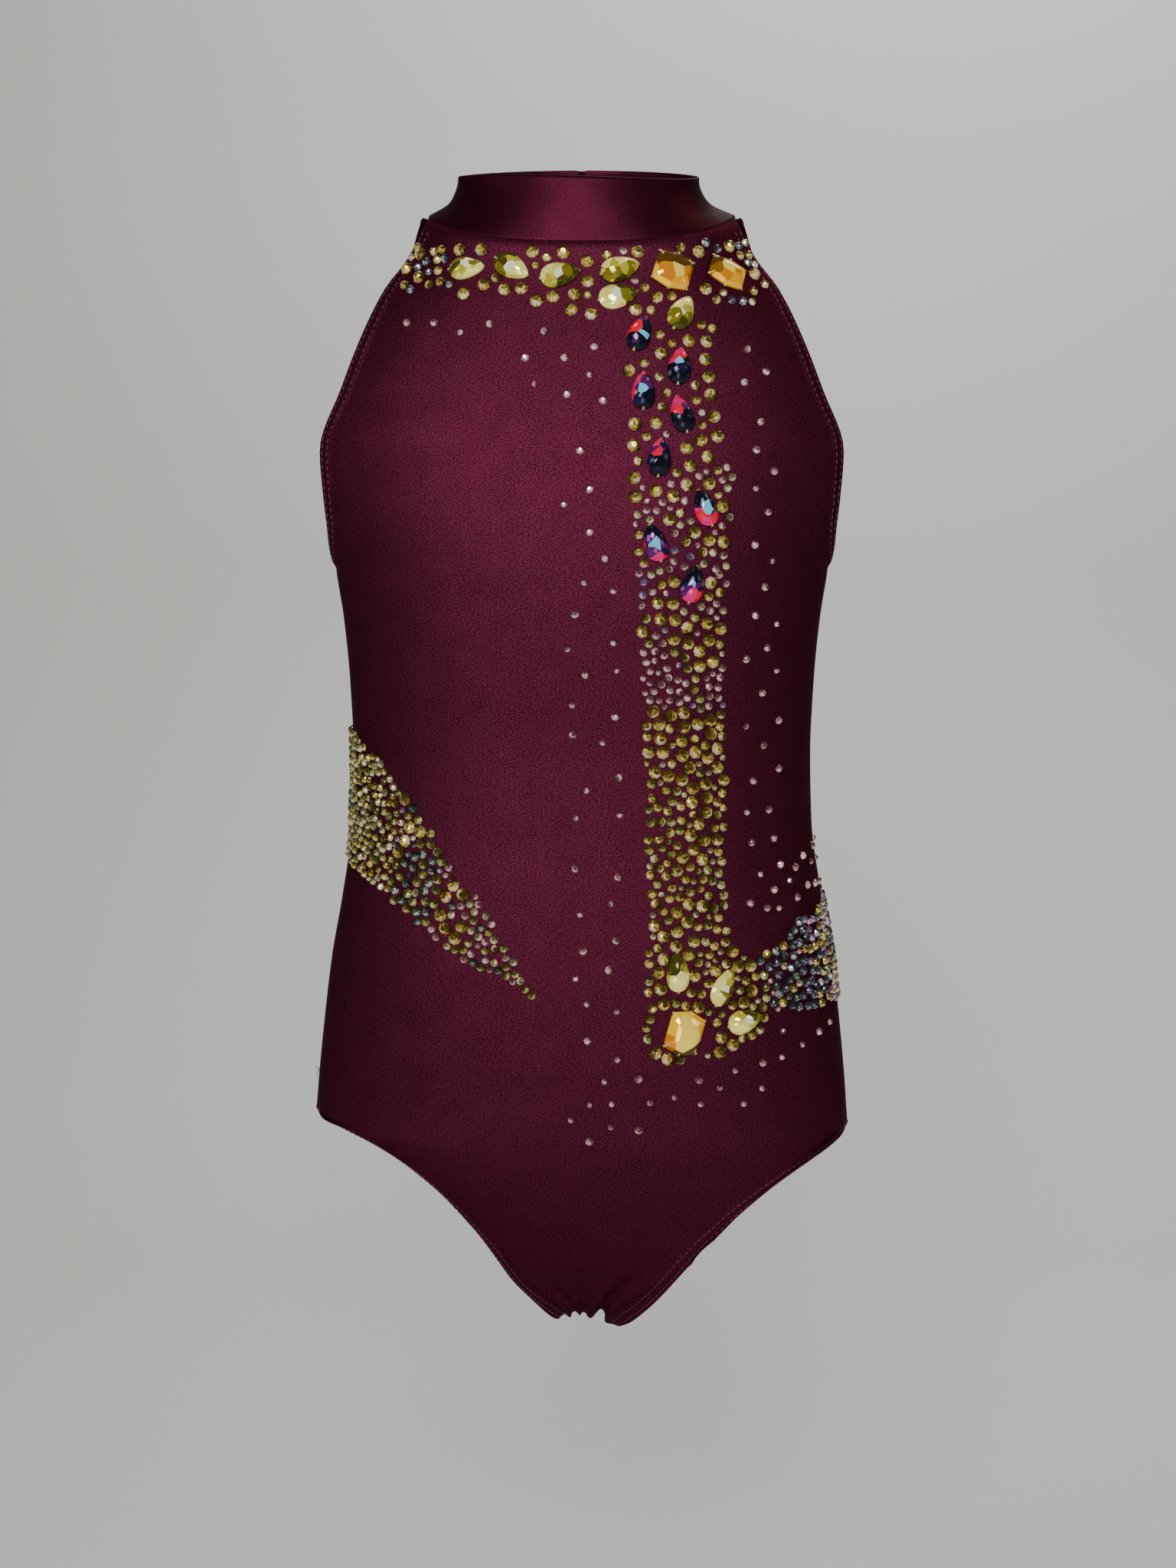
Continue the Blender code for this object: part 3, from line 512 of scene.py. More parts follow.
@dataclass
class Sheet:
    """One stretch of cloth: the points of its outer and inner face, and its map."""

    outer: Array
    inner: Array
    uv: Array
    open_start: Array | None = None
    turned_over: bool = False
    rim_out: float = 0.35

    def rim(self) -> list[tuple[int, int]]:
        """The places round the edge of the sheet, in order and closed."""
        rows, columns = self.outer.shape[:2]
        places = [(r, 0) for r in range(rows - 1, -1, -1)] + [(0, k) for k in range(1, columns)]
        places += [(r, columns - 1) for r in range(1, rows)]
        return places + [(rows - 1, k) for k in range(columns - 2, -1, -1)]

    def rim_point(self, place: tuple[int, int]) -> Array:
        """The middle of the rounded rim at a place on the edge."""
        r, k = place
        rows, columns = self.outer.shape[:2]
        near = (min(max(r, 1), rows - 2), min(max(k, 1), columns - 2))
        if k == 0 and self.open_start is not None and not self.open_start[r]:
            near = (near[0], 0)
        out = unit(self.outer[r, k] - self.outer[near])
        wall = self.inner[r, k] - self.outer[r, k]
        out = unit(out - wall * np.dot(out, wall) / max(np.dot(wall, wall), 1e-9))
        return (self.outer[r, k] + self.inner[r, k]) / 2 + out * self.rim_out * np.linalg.norm(wall)

    def add_to(self, bm: bmesh.types.BMesh) -> None:
        """Add the sheet's closed, round-edged wall to a mesh."""
        layer = bm.loops.layers.uv.verify()
        uv_of: dict[bmesh.types.BMVert, Pair] = {}
        faces = []
        sheets = []
        for points in (self.outer, self.inner):
            grid = [[bm.verts.new(p * MM) for p in row] for row in points]
            for row, uv_row in zip(grid, self.uv):
                uv_of.update({vert: tuple(uv) for vert, uv in zip(row, uv_row)})
            sheets.append(grid)
        for grid, reverse in zip(sheets, (False, True)):
            for above, below in zip(grid, grid[1:]):
                for k in range(len(above) - 1):
                    loop = (above[k], above[k + 1], below[k + 1], below[k])
                    faces.append(loop[::-1] if reverse else loop)
        middles: dict[tuple[int, int], bmesh.types.BMVert] = {}
        places = self.rim()
        for first, second in zip(places, places[1:]):
            on_start = first[1] == 0 and second[1] == 0
            if on_start and self.open_start is not None:
                if not self.open_start[min(first[0], second[0])]:
                    continue
            for place in (first, second):
                if place not in middles:
                    middles[place] = bm.verts.new(self.rim_point(place) * MM)
                    uv_of[middles[place]] = tuple(self.uv[place])
            (r1, k1), (r2, k2) = first, second
            faces.append((sheets[0][r1][k1], middles[first], middles[second], sheets[0][r2][k2]))
            faces.append((middles[first], sheets[1][r1][k1], sheets[1][r2][k2], middles[second]))
        for loop in faces:
            face = bm.faces.new(loop[::-1] if self.turned_over else loop)
            face.smooth = True
            for corner in face.loops:
                corner[layer].uv = uv_of[corner.vert]

    def area(self) -> float:
        """The area of the outer face, in square metres."""
        a = self.outer[1:, 1:] - self.outer[:-1, :-1]
        b = self.outer[1:, :-1] - self.outer[:-1, 1:]
        return float(np.linalg.norm(np.cross(a, b), axis=2).sum() / 2) * MM * MM


def linked(name: str, data: bpy.types.ID) -> Piece:
    """Put a mesh, a lamp or a camera in the scene as a named object."""
    piece = bpy.data.objects.new(name, data)
    bpy.context.scene.collection.objects.link(piece)
    return piece


def link_mesh(name: str, bm: bmesh.types.BMesh) -> Piece:
    """Turn a finished bmesh into a named object with its doubles merged."""
    bmesh.ops.remove_doubles(bm, verts=bm.verts, dist=WELD)
    mesh = bpy.data.meshes.new(name)
    bm.to_mesh(mesh)
    bm.free()
    return linked(name, mesh)


@dataclass
class BodyPanel:
    """The front or the back of the leotard."""

    name: str
    cut: PanelCut
    creases: tuple[Crease, ...]
    behind: bool
    wall: float = 1.0
    seam_gap: float = 0.24
    neck_band: float = 6.0
    neck_lift: float = 1.4
    neck_step: float = 1.6
    neck_flat: float = 2.0

    def relieved(self, rows: Array, facing: float, both_edges: bool) -> Array:
        """Lift and sink the points of the outer face.

        Args:
            rows: the plain points, row by row.
            facing: 1 where rows crossed with columns point outwards, else -1.
            both_edges: whether the rows run from edge to edge.

        Returns:
            The outer face's points.
        """
        outer = self.cut.settled(np.array(rows))
        outer[:, :, 1] += (self.seam_gap if self.behind else -self.seam_gap) / 2
        outward = sheet_normals(outer) * facing
        outward[-1] = (0.0, 0.0, -1.0)
        outward[np.abs(outer[:, :, 0]) < ON_CENTRE, 0] = 0.0
        x, z = outer[:, :, 0], outer[:, :, 2]
        lifts = Relief.gathers(x, z, CROTCH_GATHERS) + Relief.gathers(x, z, FINE_GATHERS)
        lifts += Relief.creases(x, z, self.creases)
        from_start = run_along(outer)
        from_end = from_start[:, -1:] - from_start
        on_end = np.abs(outer[:, -1:, 1]) < SIDE_SEAM_BAND
        lifts += Relief.hem(from_end, np.broadcast_to(on_end, from_end.shape))
        if both_edges:
            on_start = np.abs(outer[:, :1, 1]) < SIDE_SEAM_BAND
            lifts += Relief.hem(from_start, np.broadcast_to(on_start, from_start.shape))
        else:
            beside_slit = (np.abs(outer[:, :1, 0]) > ON_CENTRE).astype(float)
            lifts += Relief.hem(from_start, np.zeros_like(from_start, bool)) * beside_slit
        below_neck = run_along(outer, axis=0)
        band = eased((self.neck_band - below_neck) / self.neck_step)
        lifts += Relief.seam_lift * self.neck_lift * band
        lifts *= np.clip(below_neck / self.neck_flat, 0.0, 1.0)
        return Relief.drawn_in(outer + outward * lifts[:, :, None])

    def inner_face(self, outer: Array, facing: float) -> Array:
        """The inner face's points, one wall further in."""
        inward = sheet_normals(outer) * -facing
        inward[-1] = (0.0, 0.0, 1.0)
        inward[np.abs(outer[:, :, 0]) < ON_CENTRE, 0] = 0.0
        for column in (0, -1):
            on_seam = np.abs(outer[:, column, 1]) < SIDE_SEAM_BAND
            inward[on_seam, column] = 0.0
            inward[on_seam, column, 0] = -np.sign(outer[on_seam, column, 0])
        inward[0] = [self.cut.neck.ways(self.cut.neck.angle(p))[0] for p in outer[0]]
        return outer + inward * self.wall

    @staticmethod
    def mapped(outer: Array) -> Array:
        """A map of the sheet in tenths of a metre: across from x = 0, and down."""
        across = run_along(outer)
        middle = np.argmin(np.abs(outer[:, :, 0]), axis=1)
        across -= across[np.arange(len(outer)), middle][:, None]
        centre = outer[np.arange(len(outer)), middle]
        down = np.broadcast_to(travelled(centre)[:, None], across.shape)
        return np.stack([across, -down], axis=-1) * MM * MAP_SCALE

    def sheets(self) -> list[Sheet]:
        """The panel's stretches of cloth: one for the front, two halves for the back."""
        if not self.behind:
            left, right = self.cut.half_rows(1.0), self.cut.half_rows(-1.0)
            rows = np.concatenate([right[:, ::-1], left[:, 1:]], axis=1)
            outer = self.relieved(rows, -1.0, True)
            return [Sheet(outer, self.inner_face(outer, -1.0), self.mapped(outer),
                          turned_over=True)]
        halves = []
        for side in (1.0, -1.0):
            outer = self.relieved(self.cut.half_rows(side, slit=True), side, False)
            halves.append([outer, self.inner_face(outer, side)])
        slit_open = np.abs(halves[0][0][:, 0, 0]) > ON_CENTRE
        for left, right in zip(*halves):
            meeting = (left[:, 0] + right[:, 0]) / 2
            left[~slit_open, 0] = right[~slit_open, 0] = meeting[~slit_open]
        return [Sheet(*faces, self.mapped(faces[0]), slit_open, side < 0)
                for faces, side in zip(halves, (1.0, -1.0))]

    def build(self) -> tuple[Piece, list[Sheet]]:
        """Make the panel.

        Returns:
            The piece and the sheets that it was made from.
        """
        sheets = self.sheets()
        bm = bmesh.new()
        for sheet in sheets:
            sheet.add_to(bm)
        return link_mesh(self.name, bm), sheets


@dataclass
class StandCollar:
    """The folded stand collar, open at the centre back."""

    neck: NeckRing = field(default_factory=NeckRing)
    top_half_width: float = 57.6
    top_half_depth: float = 52.0
    top_power: float = 0.9
    right_ease: float = 3.2
    front_slope: float = 1.8
    top_mean_z: float = 26.0
    top_tilt: float = 12.2
    top_rise: float = 1.8
    ease: float = 2.4
    opening: float = 1.0
    seam_gap: float = 0.24
    wall: float = 1.3
    rows: int = 26
    columns: int = 180
    waves: tuple[Triple, ...] = ((7.0, 0.8, 0.16), (13.0, 2.1, 0.10))
    side_slack: float = 0.65
    dip: Triple = (-0.9, 0.32, 0.2)

    def point(self, angle: float, share: float) -> Array:
        """A point of the outer face; share is 0 at the neck seam and 1 at the top."""
        base = self.neck.point(np.array(angle)) + self.neck.ways(angle)[1] * self.seam_gap
        ahead = rounded(np.cos(angle), self.top_power)
        aside = rounded(np.sin(angle), self.top_power)
        top = np.array([self.top_half_width * aside - self.right_ease * max(-aside, 0.0) ** 2,
                        self.neck.centre_y - self.top_half_depth * ahead,
                        self.top_mean_z - self.top_tilt * ahead + self.top_rise * ahead ** 2
                        - self.front_slope * max(ahead, 0.0) * aside])
        bend = 1.0 + (self.ease - 1.0) * math.sin(angle) ** 2
        point = base + (top - base) * (1.0 - (1.0 - share) ** bend)
        point[2] = base[2] + (top[2] - base[2]) * share
        return point

    def ripple(self, angle: float, share: float) -> float:
        """Small uneven waves of the band, strongest beside the shoulders, in millimetres."""
        sides = math.sin(angle) ** 4
        wave = sum(math.sin(count * angle + start) * height for count, start, height in self.waves)
        slack = math.sin(math.pi * share) * (1.0 - self.side_slack + self.side_slack * sides)
        depth, place, width = self.dip
        return wave * slack + depth * sides * math.exp(-((share - place) / width) ** 2)

    def build(self) -> tuple[Piece, Sheet]:
        """Make the collar.

        Returns:
            The piece and the sheet that it was made from.
        """
        gap = self.opening / 2 / self.top_half_width
        angles = np.linspace(gap - math.pi, math.pi - gap, self.columns + 1)
        shares = np.linspace(0.0, 1.0, self.rows + 1)
        outer = np.array([[self.point(a, s) for a in angles] for s in shares])
        for column, side in ((0, -1.0), (-1, 1.0)):
            outer[:, column, 0] = side * self.opening / 2
        waves = np.array([[self.ripple(a, s) for a in angles] for s in shares])
        outer[:, 1:-1] += sheet_normals(outer)[:, 1:-1] * waves[:, 1:-1, None]
        inward = -sheet_normals(outer)
        inward[0] = [self.neck.ways(a)[0] for a in angles]
        inward[:, (0, -1), 0] = 0.0
        across = run_along(outer)
        up = np.broadcast_to(travelled(outer[:, self.columns // 2])[:, None], across.shape)
        uv = np.stack([across - across[:, -1:] / 2, up], axis=-1) * MM * MAP_SCALE
        sheet = Sheet(outer, outer + inward * self.wall, uv, rim_out=0.5)
        bm = bmesh.new()
        sheet.add_to(bm)
        return link_mesh("stand_collar", bm), sheet


class Skin:
    """Finds places on the outside of the worn body of the leotard."""

    level_slope = 0.3

    def __init__(self, front: list[Sheet], back: list[Sheet]) -> None:
        """Index the outer faces.

        Args:
            front: the front panel's sheets.
            back: the back panel's sheets.
        """
        self.front_grid = front[0].outer
        self.front_tree = self.face_tree(self.front_grid)
        left, right = back[0].outer, back[1].outer
        back_grid = np.concatenate([right[:, ::-1], left[:, 1:]], axis=1)
        self.grids = (self.indexed(self.front_grid, -1.0), self.indexed(back_grid, 1.0))

    @staticmethod
    def face_tree(grid: Array) -> BVHTree:
        """A search tree of a grid's faces, in metres."""
        rows, columns = grid.shape[:2]
        points = [tuple(p) for p in grid.reshape(-1, 3) * MM]
        faces = [(r * columns + k, r * columns + k + 1, (r + 1) * columns + k + 1,
                  (r + 1) * columns + k) for r in range(rows - 1) for k in range(columns - 1)]
        return BVHTree.FromPolygons(points, faces)

    @staticmethod
    def indexed(grid: Array, facing: float) -> dict[str, object]:
        """Distances round the body, heights and directions for each point of a grid."""
        around = run_along(grid)
        middle = np.argmin(np.abs(grid[:, :, 0]), axis=1)
        around -= around[np.arange(len(grid)), middle][:, None]
        across = unit(np.gradient(grid, axis=1))
        down = unit(np.gradient(grid, axis=0))
        flat = grid.reshape(-1, 3)
        tree = KDTree(len(flat))
        for k, (s, z) in enumerate(zip(around.ravel(), flat[:, 2])):
            tree.insert((s, z, 0.0), k)
        tree.balance()
        return {"points": flat, "around": around.ravel(), "across": across.reshape(-1, 3),
                "down": down.reshape(-1, 3), "tree": tree, "grid": grid,
                "normal": (sheet_normals(grid) * facing).reshape(-1, 3)}

    def side_of(self, z: float) -> Triple:
        """The side seam at a height: its x, and how far round it is in front and behind."""
        found = []
        for entry in self.grids:
            grid = entry["grid"]
            row = int(np.argmin(np.abs(grid[:, -1, 2] - z)))
            around = entry["around"].reshape(grid.shape[:2])[row]
            found.append((float(grid[row, -1, 0]), float(around[-1])))
        return found[0][0], found[0][1], found[1][1]

    def around_at(self, x: float, z: float) -> float:
        """How far round the body a place seen from the front is; past the side it runs on."""
        edge_x, edge_around, _ = self.side_of(z)
        if abs(x) >= edge_x:
            return math.copysign(edge_around + abs(x) - edge_x, x)
        grid = self.front_grid
        row = int(np.argmin(np.abs(grid[:, grid.shape[1] // 2, 2] - z)))
        around = self.grids[0]["around"].reshape(grid.shape[:2])[row]
        return float(np.interp(x, grid[row, :, 0], around))

    def place(self, around: float, z: float) -> tuple[Array, Array]:
        """The point and the normal at a distance round the body and a height."""
        _, front_edge, back_edge = self.side_of(z)
        entry = self.grids[0]
        if abs(around) > front_edge:
            entry = self.grids[1]
            around = math.copysign(max(back_edge - (abs(around) - front_edge), 0.0), around)
        _, k, _ = entry["tree"].find((around, z, 0.0))
        point = entry["points"][k].copy()
        point += entry["across"][k] * (around - entry["around"][k])
        drop = entry["down"][k]
        if abs(drop[2]) > self.level_slope:
            point += drop * ((z - point[2]) / drop[2])
        return point, entry["normal"][k]

    def ahead(self, x: float, z: float) -> Array:
        """The point of the front straight behind a place, in millimetres."""
        start = Vector((x, -RAY_START, z)) * MM
        return np.array(self.front_tree.ray_cast(start, Vector((0.0, 1.0, 0.0)))[0]) / MM


@dataclass(frozen=True)
class LargeStone:
    """A large sew-on stone: its kind, colour, place, tip's way, size and the way of the painted
    highlight on its facets.
    """

    node: str
    kind: str
    colour: str
    x: float
    z: float
    tip: float
    length: float
    width: float
    # The way, in degrees, that the painted highlight on the stone's facets faces.
    bright: float


# For each kind and colour: x, z, the tip's way, length, width and the way of the painted highlight
# on the facets.
LARGE_ROWS = {
    ("drop", "citrine"): (
        (-53.7, -27.0, -4, 17.5, 11.4, -60),
        (-32.5, -27.3, -32, 18.0, 11.6, -30),
        (-10.0, -31.4, 12, 18.5, 12.0, 150),
        (17.8, -28.6, 18, 18.5, 12.0, 100),
        (17.0, -41.6, 16, 18.5, 12.0, -150),
        (46.4, -49.2, 62, 18.0, 11.8, 70),
        (44.6, -355.6, 92, 18.5, 11.0, -70),
        (66.4, -363.6, 62, 18.5, 11.0, 170),
        (76.5, -380.1, 12, 17.5, 11.6, -120),
    ),
    ("kite", "amber"): (
        (42.2, -28.9, -15, 18.2, 18.6, -110),
        (68.0, -28.3, -12, 18.2, 15.6, -60),
        (47.8, -384.3, -15, 16.8, 21.5, 100),
    ),
    ("drop", "violet"): (
        (26.9, -59.4, 70, 17.3, 11.2, 130),
        (45.2, -74.6, 82, 17.3, 11.2, 120),
        (28.5, -86.4, 88, 17.3, 11.2, 140),
        (46.1, -97.1, 104, 17.3, 11.2, 125),
        (35.8, -117.4, 84, 17.3, 11.2, 150),
        (56.8, -140.2, 112, 17.3, 11.2, -115),
        (33.7, -156.6, 108, 17.3, 11.2, -110),
        (51.2, -175.4, 76, 17.3, 11.2, -105),
    ),
}
LARGE_STONES = tuple(LargeStone(f"{kind}_{colour}_{number}", kind, colour, *row)
                     for (kind, colour), rows in LARGE_ROWS.items()
                     for number, row in enumerate(rows, 1))


@dataclass(frozen=True)
class Tier:
    """One step up a cut stone: how high, how wide, and how far turned, in degrees."""

    height: float
    share: float
    turn: float = 0.0


ROUND_TIERS = (Tier(0.10, 1.0), Tier(0.34, 0.70, 22.5), Tier(0.46, 0.42))
TO_TRIANGLES = {"quad_method": "SHORTEST_DIAGONAL", "ngon_method": "BEAUTY"}
LARGE_TIERS = (Tier(1.1, 1.0), Tier(2.7, 0.80), Tier(3.7, 0.58), Tier(4.2, 0.34))


def select_only(piece: Piece) -> None:
    """Make a piece the only selected one, and the active one."""
    bpy.ops.object.select_all(action="DESELECT")
    piece.select_set(True)
    bpy.context.view_layer.objects.active = piece


class GemCutter:
    """Cuts flat-backed stones, tip at +X and table at +Z, in millimetres."""

    drop_sides = 24
    drop_fullness = 1.22
    drop_taper = 0.22
    kite_corners = ((0.50, 0.38), (0.49, -0.39), (0.0, -0.50), (-0.50, -0.38), (-0.48, 0.39),
                    (0.03, 0.50))
    kite_bevel = 0.12

    @classmethod
    def drop_outline(cls, length: float, width: float) -> list[Pair]:
        """The outline of a drop, anticlockwise."""
        angles = [2.0 * math.pi * k / cls.drop_sides for k in range(cls.drop_sides)]
        return [(0.5 * length * math.cos(a), 0.5 * width * cls.drop_fullness
                 * (1.0 - cls.drop_taper * (1.0 + math.cos(a))) * math.sin(a)) for a in angles]

    @classmethod
    def kite_outline(cls, length: float, width: float) -> list[Pair]:
        """The outline of a four-sided stone with two bulged sides, anticlockwise."""
        corners = [Vector((x * length, y * width)) for x, y in cls.kite_corners[::-1]]
        points = []
        for k, corner in enumerate(corners):
            before, after = corners[k - 1], corners[(k + 1) % len(corners)]
            points.append(corner.lerp(before, cls.kite_bevel))
            points.append(corner.lerp(after, cls.kite_bevel))
        return [(p.x, p.y) for p in points]

    @staticmethod
    def cut(name: str, outline: list[Pair], tiers: tuple[Tier, ...],
            scale: float = 1.0) -> Piece:
        """Cut one stone: an outline drawn up through the tiers to its table.

        Args:
            name: the new piece's name.
            outline: the stone's outline.
            tiers: the steps from the girdle to the table.
            scale: a factor on the tiers' heights.

        Returns:
            The stone, with flat triangular facets.
        """
        bpy.ops.mesh.primitive_circle_add(vertices=len(outline), fill_type="NGON")
        stone = bpy.context.active_object
        stone.name = stone.data.name = name
        middle = Vector(outline[0]).to_3d() * 0.0
        for vert, (x, y) in zip(stone.data.vertices, outline):
            vert.co = (x, y, 0.0)
            middle += vert.co / len(outline)
        bpy.ops.object.mode_set(mode="EDIT")
        bpy.ops.mesh.select_all(action="SELECT")
        below = Tier(0.0, 1.0)
        for tier in tiers:
            rise = (tier.height - below.height) * scale
            bpy.ops.mesh.extrude_region_move(TRANSFORM_OT_translate={"value": (0, 0, rise)})
            factor = tier.share / below.share
            centre = (middle.x, middle.y, tier.height * scale)
            if factor != 1.0:
                bpy.ops.transform.resize(value=(factor, factor, 1), center_override=centre)
            if tier.turn:
                bpy.ops.transform.rotate(value=math.radians(tier.turn), orient_axis="Z",
                                         center_override=centre)
            below = tier
        bpy.ops.mesh.select_all(action="SELECT")
        bpy.ops.mesh.normals_make_consistent(inside=False)
        bpy.ops.mesh.quads_convert_to_tris(**TO_TRIANGLES)
        bpy.ops.object.mode_set(mode="OBJECT")
        return stone


@dataclass
class Unit:
    """A small shape that is copied many times: its points and faces."""

    points: Array
    faces: Array

    @classmethod
    def taken_from(cls, piece: Piece) -> "Unit":
        """Read the shape of a triangulated piece, then remove the piece."""
        mesh = piece.data
        points = np.array([v.co[:] for v in mesh.vertices])
        faces = np.array([tuple(p.vertices) for p in mesh.polygons])
        bpy.data.objects.remove(piece)
        bpy.data.meshes.remove(mesh)
        return cls(points, faces)


@dataclass
class Copies:
    """Copies of a unit shape, to be joined in one mesh."""

    unit: Unit
    frames: list[Array] = field(default_factory=list)
    places: list[Array] = field(default_factory=list)
    # The spread of the painted glints on the faces: the bright side's turn, the table's level and
    # the unevenness.
    turn_spread: float = 0.3
    table_from: float = 0.97
    table_range: Pair = (0.15, 0.75)
    uneven: Pair = (-0.34, 0.30)

    def add(self, place: Array, x_way: Array, normal: Array,
            size: Triple) -> None:
        """Add a copy at a place, lying along x_way and facing along normal."""
        side = unit(np.cross(normal, x_way))
        along = np.cross(side, normal)
        self.frames.append(np.stack([along * size[0], side * size[1], normal * size[2]]))
        self.places.append(place)

    def painted_glints(self, rng: np.random.Generator) -> Array:
        """A painted glint level for each face of each copy: painted bright towards +X, painted dark
        behind, uneven.
        """
        centres = self.unit.points[self.unit.faces].mean(axis=1)
        around = np.arctan2(centres[:, 1], centres[:, 0])
        each = (len(self.places), 1)
        level = 0.5 + 0.5 * np.cos(around[None] + rng.normal(0.0, self.turn_spread, each))
        table = centres[:, 2] > self.table_from * self.unit.points[:, 2].max()
        level = np.where(table[None], rng.uniform(*self.table_range, each), level)
        return np.clip(level + rng.uniform(*self.uneven, level.shape), 0.0, 1.0)

    def join(self, name: str, smooth: bool, seed: int) -> Piece:
        """Make the joined piece, with a random painted glint level for each face and a random tint
        for each copy.

        Args:
            name: the piece's name.
            smooth: whether its faces are shaded smooth.
            seed: the seed of its random values.

        Returns:
            The piece.
        """
        rng = np.random.default_rng(seed)
        count, size = len(self.places), len(self.unit.points)
        painted_glints = self.painted_glints(rng)
        points = np.einsum("nk,mkj->mnj", self.unit.points, np.array(self.frames))
        points += np.array(self.places)[:, None, :]
        faces = self.unit.faces[None] + (np.arange(count) * size)[:, None, None]
        mesh = bpy.data.meshes.new(name)
        mesh.from_pydata((points.reshape(-1, 3) * MM).tolist(), [],
                         faces.reshape(-1, faces.shape[-1]).tolist())
        mesh.polygons.foreach_set("use_smooth", np.full(len(mesh.polygons), smooth))
        for label, values in (("painted_glint", painted_glints.ravel()),
                              ("tint", np.repeat(rng.random(count), len(self.unit.faces)))):
            layer = mesh.attributes.new(label, "FLOAT", "FACE")
            layer.data.foreach_set("value", values.astype(np.float32))
        return linked(name, mesh)


def small_units() -> dict[str, Unit]:
    """The round stone and the stitch, which is a thread too, both 1 mm, and the hole ring."""
    angles = [math.radians(45 * k) for k in range(8)]
    outline = [(0.5 * math.cos(angle), 0.5 * math.sin(angle)) for angle in angles]
    units = {"round": Unit.taken_from(GemCutter.cut("round", outline, ROUND_TIERS))}
    bpy.ops.mesh.primitive_uv_sphere_add(segments=6, ring_count=4, radius=0.5,
                                         rotation=(0.0, math.pi / 2, 0.0))
    bpy.ops.object.transform_apply(rotation=True)
    triangulated(bpy.context.active_object)
    units["stitch"] = Unit.taken_from(bpy.context.active_object)
    bpy.ops.mesh.primitive_torus_add(major_segments=12, minor_segments=5, major_radius=0.62,
                                     minor_radius=0.17)
    triangulated(bpy.context.active_object)
    units["ring"] = Unit.taken_from(bpy.context.active_object)
    return units


def triangulated(piece: Piece) -> None:
    """Cut a piece's faces into triangles."""
    select_only(piece)
    bpy.ops.object.mode_set(mode="EDIT")
    bpy.ops.mesh.select_all(action="SELECT")
    bpy.ops.mesh.quads_convert_to_tris(**TO_TRIANGLES)
    bpy.ops.object.mode_set(mode="OBJECT")


class StoneSetter:
    """Seats the large stones on the front, with their holes and sewing threads."""

    seam_gap = 0.3
    probe_share = 0.4
    girdle = 1.1
    drop_holes = (0.36, -0.38)
    kite_hole_share = 0.78
    hole_rise = 1.15
    hole_lean = 0.55
    thread_drop = 0.75
    thread_slope = 0.62
    thread_lean = 0.6
    thread_turns = (-0.42, 0.04, 0.40)
    drop_reach = 0.16
    kite_reach = 2.6
    thread_extra = 1.4
    thread_width = 0.5
    layer_step = 0.37

    def __init__(self, skin: Skin) -> None:
        """Keep the skin that the stones sit on."""
        self.skin = skin

    def frame_of(self, stone: LargeStone) -> tuple[Array, Array, Array]:
        """The place on the cloth, the way of the tip and the normal of a large stone."""
        probe = self.probe_share * stone.width
        place = self.skin.ahead(stone.x, stone.z)
        across = self.skin.ahead(stone.x + probe, stone.z) - place
        upward = self.skin.ahead(stone.x, stone.z + probe) - place
        normal = unit(np.cross(across, upward))
        tip = math.radians(stone.tip)
        way = np.array([math.cos(tip), 0.0, math.sin(tip)])
        return place, unit(way - normal * np.dot(way, normal)), normal

    def seat(self, stone: LargeStone, rings: Copies, threads: Copies) -> Piece:
        """Cut a large stone, seat it just clear of the cloth, and sew it down.

        Args:
            stone: the stone.
            rings: the hole rings, to which its own are added.
            threads: the sewing threads, to which its own are added.

        Returns:
            The stone's piece.
        """
        place, way, normal = self.frame_of(stone)
        drop = stone.kind == "drop"
        outline = (GemCutter.drop_outline if drop else GemCutter.kite_outline)(
            stone.length, stone.width)
        piece = GemCutter.cut(stone.node + "_cut", outline, LARGE_TIERS)
        side = np.cross(normal, way)
        gaps = [0.0]
        for x, y in outline:
            corner = place + way * x + side * y
            start = Vector(corner + normal * self.probe_share * stone.width) * MM
            cloth = np.array(self.skin.front_tree.ray_cast(start, Vector(-normal))[0]) / MM
            gaps.append(float(np.dot(corner - cloth, normal)))
        seat = place + normal * (self.seam_gap - min(gaps))
        self.map_facets(piece, stone)
        turn = Matrix((Vector(way), Vector(side), Vector(normal))).transposed().to_4x4()
        piece.data.transform(Matrix.Diagonal((MM, MM, MM, 1.0)) @ Matrix.Translation(seat) @ turn)
        ends = [(share * stone.length, 0.0) for share in self.drop_holes]
        if not drop:
            share = self.kite_hole_share
            ends = [(share * x * stone.length, share * y * stone.width)
                    for x, y in GemCutter.kite_corners]
        reach = self.drop_reach * stone.length if drop else self.kite_reach
        thread = (reach + self.thread_extra, self.thread_width, self.thread_width)
        for x, y in ends:
            out = unit(way * x + side * y)
            hole = seat + way * x + side * y + normal * (self.girdle + self.hole_rise)
            # A raised ring at the hole, which carries a painted glint.
            rings.add(hole, way, unit(normal + out * self.hole_lean), (1.0, 1.0, 1.0))
            over = hole + out * reach * 0.5 - normal * self.thread_drop
            for aside in self.thread_turns:
                lay = unit(out - normal * self.thread_slope + np.cross(normal, out) * aside)
                threads.add(over, lay, unit(normal + out * self.thread_lean), thread)
        return piece

    @staticmethod
    def map_facets(piece: Piece, stone: LargeStone) -> None:
        """Map a stone for its painted facets: +U towards the side of its painted highlight, and a
        layer of its own.
        """
        points = np.array([vert.co[:] for vert in piece.data.vertices]) / stone.width
        turn = math.radians(stone.bright - stone.tip)
        u = points[:, 0] * math.cos(turn) + points[:, 1] * math.sin(turn)
        v = points[:, 1] * math.cos(turn) - points[:, 0] * math.sin(turn)
        layer = piece.data.attributes.new("facet_place", "FLOAT_VECTOR", "POINT")
        own = (stone.x - stone.z) * StoneSetter.layer_step
        rows = np.stack([u, v, np.full(len(points), own)], axis=1)
        layer.data.foreach_set("vector", rows.astype(np.float32).ravel())


